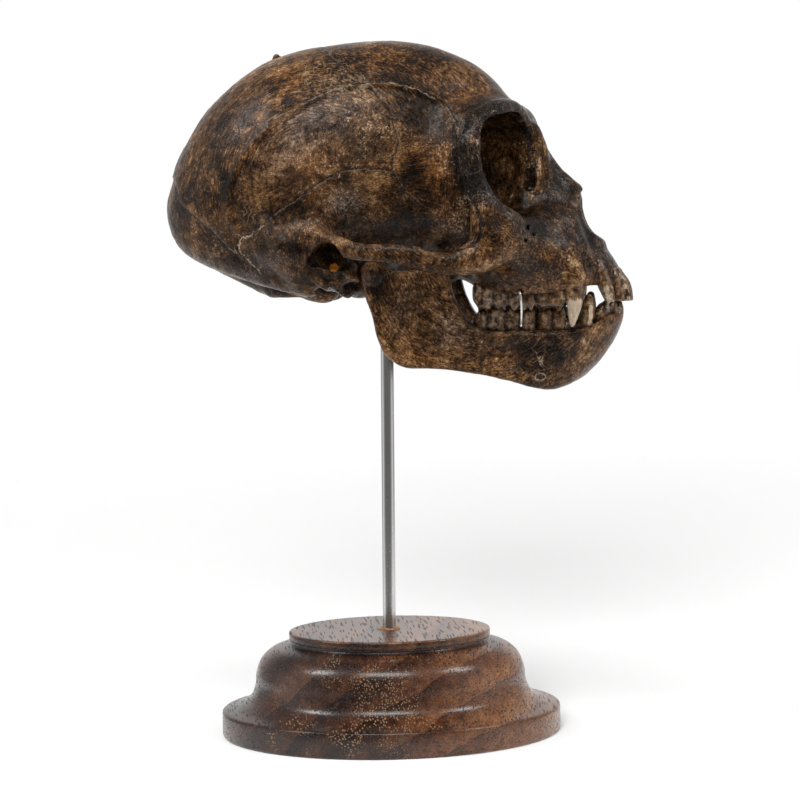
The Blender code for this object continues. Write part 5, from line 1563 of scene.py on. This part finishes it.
# Lower teeth: the lower jaw's incisors, canines and narrow cheek teeth, in the same stained enamel, with the
# incisors worn flat. They stand in the jaw's sockets and bite just inside the upper row.
LOWER_CHEEK_TEETH = [
    (21.8, 25, 1), (25, 28.9, 2), (28.9, 32.2, 1), (32.2, 35.5, 1), (36.3, 39.3, 1), (39.3, 42.2, 1),
]
LOWER_ROW = dict(row_out=16.6, turn=0.26, width=4.8, root_z=91.0, tip_z=97.7, lean=0.8)
LOWER_BOX = ((20, 0, 86), (58, 19.4, 101.4))
LOWER_CANINE = [(45.9, 8.8, 90.5, 2), (46.9, 9.2, 94, 1.85), (47.4, 9.5, 97, 1.5), (47.7, 9.7, 99.3, 0.9)]
LOWER_INCISORS = [
    [(49.2, 5.2, 89.6, 1.6), (49.9, 5.6, 92.8, 2.1), (50.3, 5.6, 95.4, 1.8), (51.3, 5.4, 97.4, 0.9)],
    [(50.2, 3.8, 89.6, 1.6), (51.6, 3.9, 92.8, 2), (52.4, 4, 95.4, 1.8), (53, 4, 97.3, 1)],
    [(50.8, 2, 89.6, 1.6), (52.7, 2.1, 92.6, 1.7), (53.7, 2.2, 95.4, 1.6), (54.2, 2.2, 97.3, 0.9)],
]
LOWER_INCISOR_BLEND = 0.7
LOWER_GUM = [
    (25, 13.4, 90.8, 1.5), (34, 11.8, 90.6, 1.7), (40.5, 10.2, 92.4, 2), (46.6, 6.8, 92.4, 2),
    (50.2, 2, 90.2, 1.4), (50.6, 0, 90.2, 1.4),
]
LOWER_CROWNS = [
    ([(48.2, 10.8, 97.2), (48.1, 10.8, 95.4), (47.7, 10.6, 93.6)], 0.6, 0.85),
    ([(52.2, 6.6, 97.8), (52.4, 6.8, 96.2)], 1, 0.75), ([(51.4, 6.9, 94), (50, 6.8, 90.8)], 0.6, 0.6),
    ([(48.4, 10.2, 93.4), (48.2, 10.2, 92.2)], 0.8, 0.6), ([(54.6, 3.6, 97), (54.4, 3.6, 95.6)], 0.7, 0.5),
]
clay = Clay(*LOWER_BOX, TOOTH_STEP)
cheek_tooth_row(clay, LOWER_CHEEK_TEETH, **LOWER_ROW)
clay.add(LOWER_CANINE, TOOTH_BLEND)
for strand in LOWER_INCISORS:
    clay.add(strand, LOWER_INCISOR_BLEND)
clay.cut(BITE_NOTCH, NOTCH_BLEND)
clay.add(LOWER_GUM, TOOTH_BLEND)
lower_mesh = clay.mesh("lower_teeth")
dress_teeth(lower_mesh, [clay, jaw_clay], LOWER_CROWNS)
stand("lower_teeth", lower_mesh, enamel, "jaw_bone")


# Jaw wires: a thin bright steel wire each side, pushed through a hole drilled above the cheek teeth and one
# below them, which ties the jaw shut.
WIRE_DIAMETER = 0.55
WIRE_BITE = 3.2
WIRE_TOP_OUT = 19.5
WIRE_BOTTOM_OUT = 17.6
WIRE_STRETCH = 1.6
WIRE_STEPS = 5

bright, paint = new_finish("bright wire")
at = paint.place_in_mm()
scratch = at.grain((0.08, 0.08, 1.4))
paint.surface({
    "Base Color": paint.colour(scratch, (0.70, 0.69, 0.67), (0.92, 0.91, 0.89)), "Metallic": 1.0,
    "Roughness": 0.22 + 0.2 * scratch, "Normal": scratch.relief(0.3, 0.02),
})

# Into the upper jaw's hole, down outside the teeth with a slight kink, and into the lower hole
middle_out = (WIRE_TOP_OUT + WIRE_BOTTOM_OUT) / 2
route = smooth_curve([
    (WIRE_X, WIRE_TOP_OUT - WIRE_BITE, WIRE_TOP_Z), (WIRE_X, WIRE_TOP_OUT - 2 * WIRE_DIAMETER, WIRE_TOP_Z),
    (WIRE_X, WIRE_TOP_OUT - WIRE_DIAMETER / 2, WIRE_TOP_Z - WIRE_DIAMETER / 2),
    (WIRE_X + 0.2, WIRE_TOP_OUT, WIRE_TOP_Z - WIRE_STRETCH),
    (WIRE_X + 0.25, middle_out, (WIRE_TOP_Z + WIRE_BOTTOM_Z) / 2),
    (WIRE_X + 0.1, WIRE_BOTTOM_OUT, WIRE_BOTTOM_Z + WIRE_STRETCH),
    (WIRE_X, WIRE_BOTTOM_OUT - WIRE_DIAMETER / 2, WIRE_BOTTOM_Z + WIRE_DIAMETER / 2),
    (WIRE_X, WIRE_BOTTOM_OUT - 2 * WIRE_DIAMETER, WIRE_BOTTOM_Z),
    (WIRE_X, WIRE_BOTTOM_OUT - WIRE_BITE, WIRE_BOTTOM_Z),
], WIRE_STEPS)
for side, hand in ((-1, "right"), (1, "left")):
    curve = bpy.data.curves.new("tie_" + hand, "CURVE")
    curve.dimensions = "3D"
    curve.bevel_depth = WIRE_DIAMETER / 2 * MM
    curve.bevel_resolution = 3
    curve.use_fill_caps = True
    spline = curve.splines.new("POLY")
    spline.points.add(len(route) - 1)
    for spot, (x, y, z) in zip(spline.points, route):
        spot.co = (x * MM, side * y * MM, z * MM, 1.0)
    stand("tie_" + hand, curve, bright, "wire_steel", "jaw_wire_" + hand)
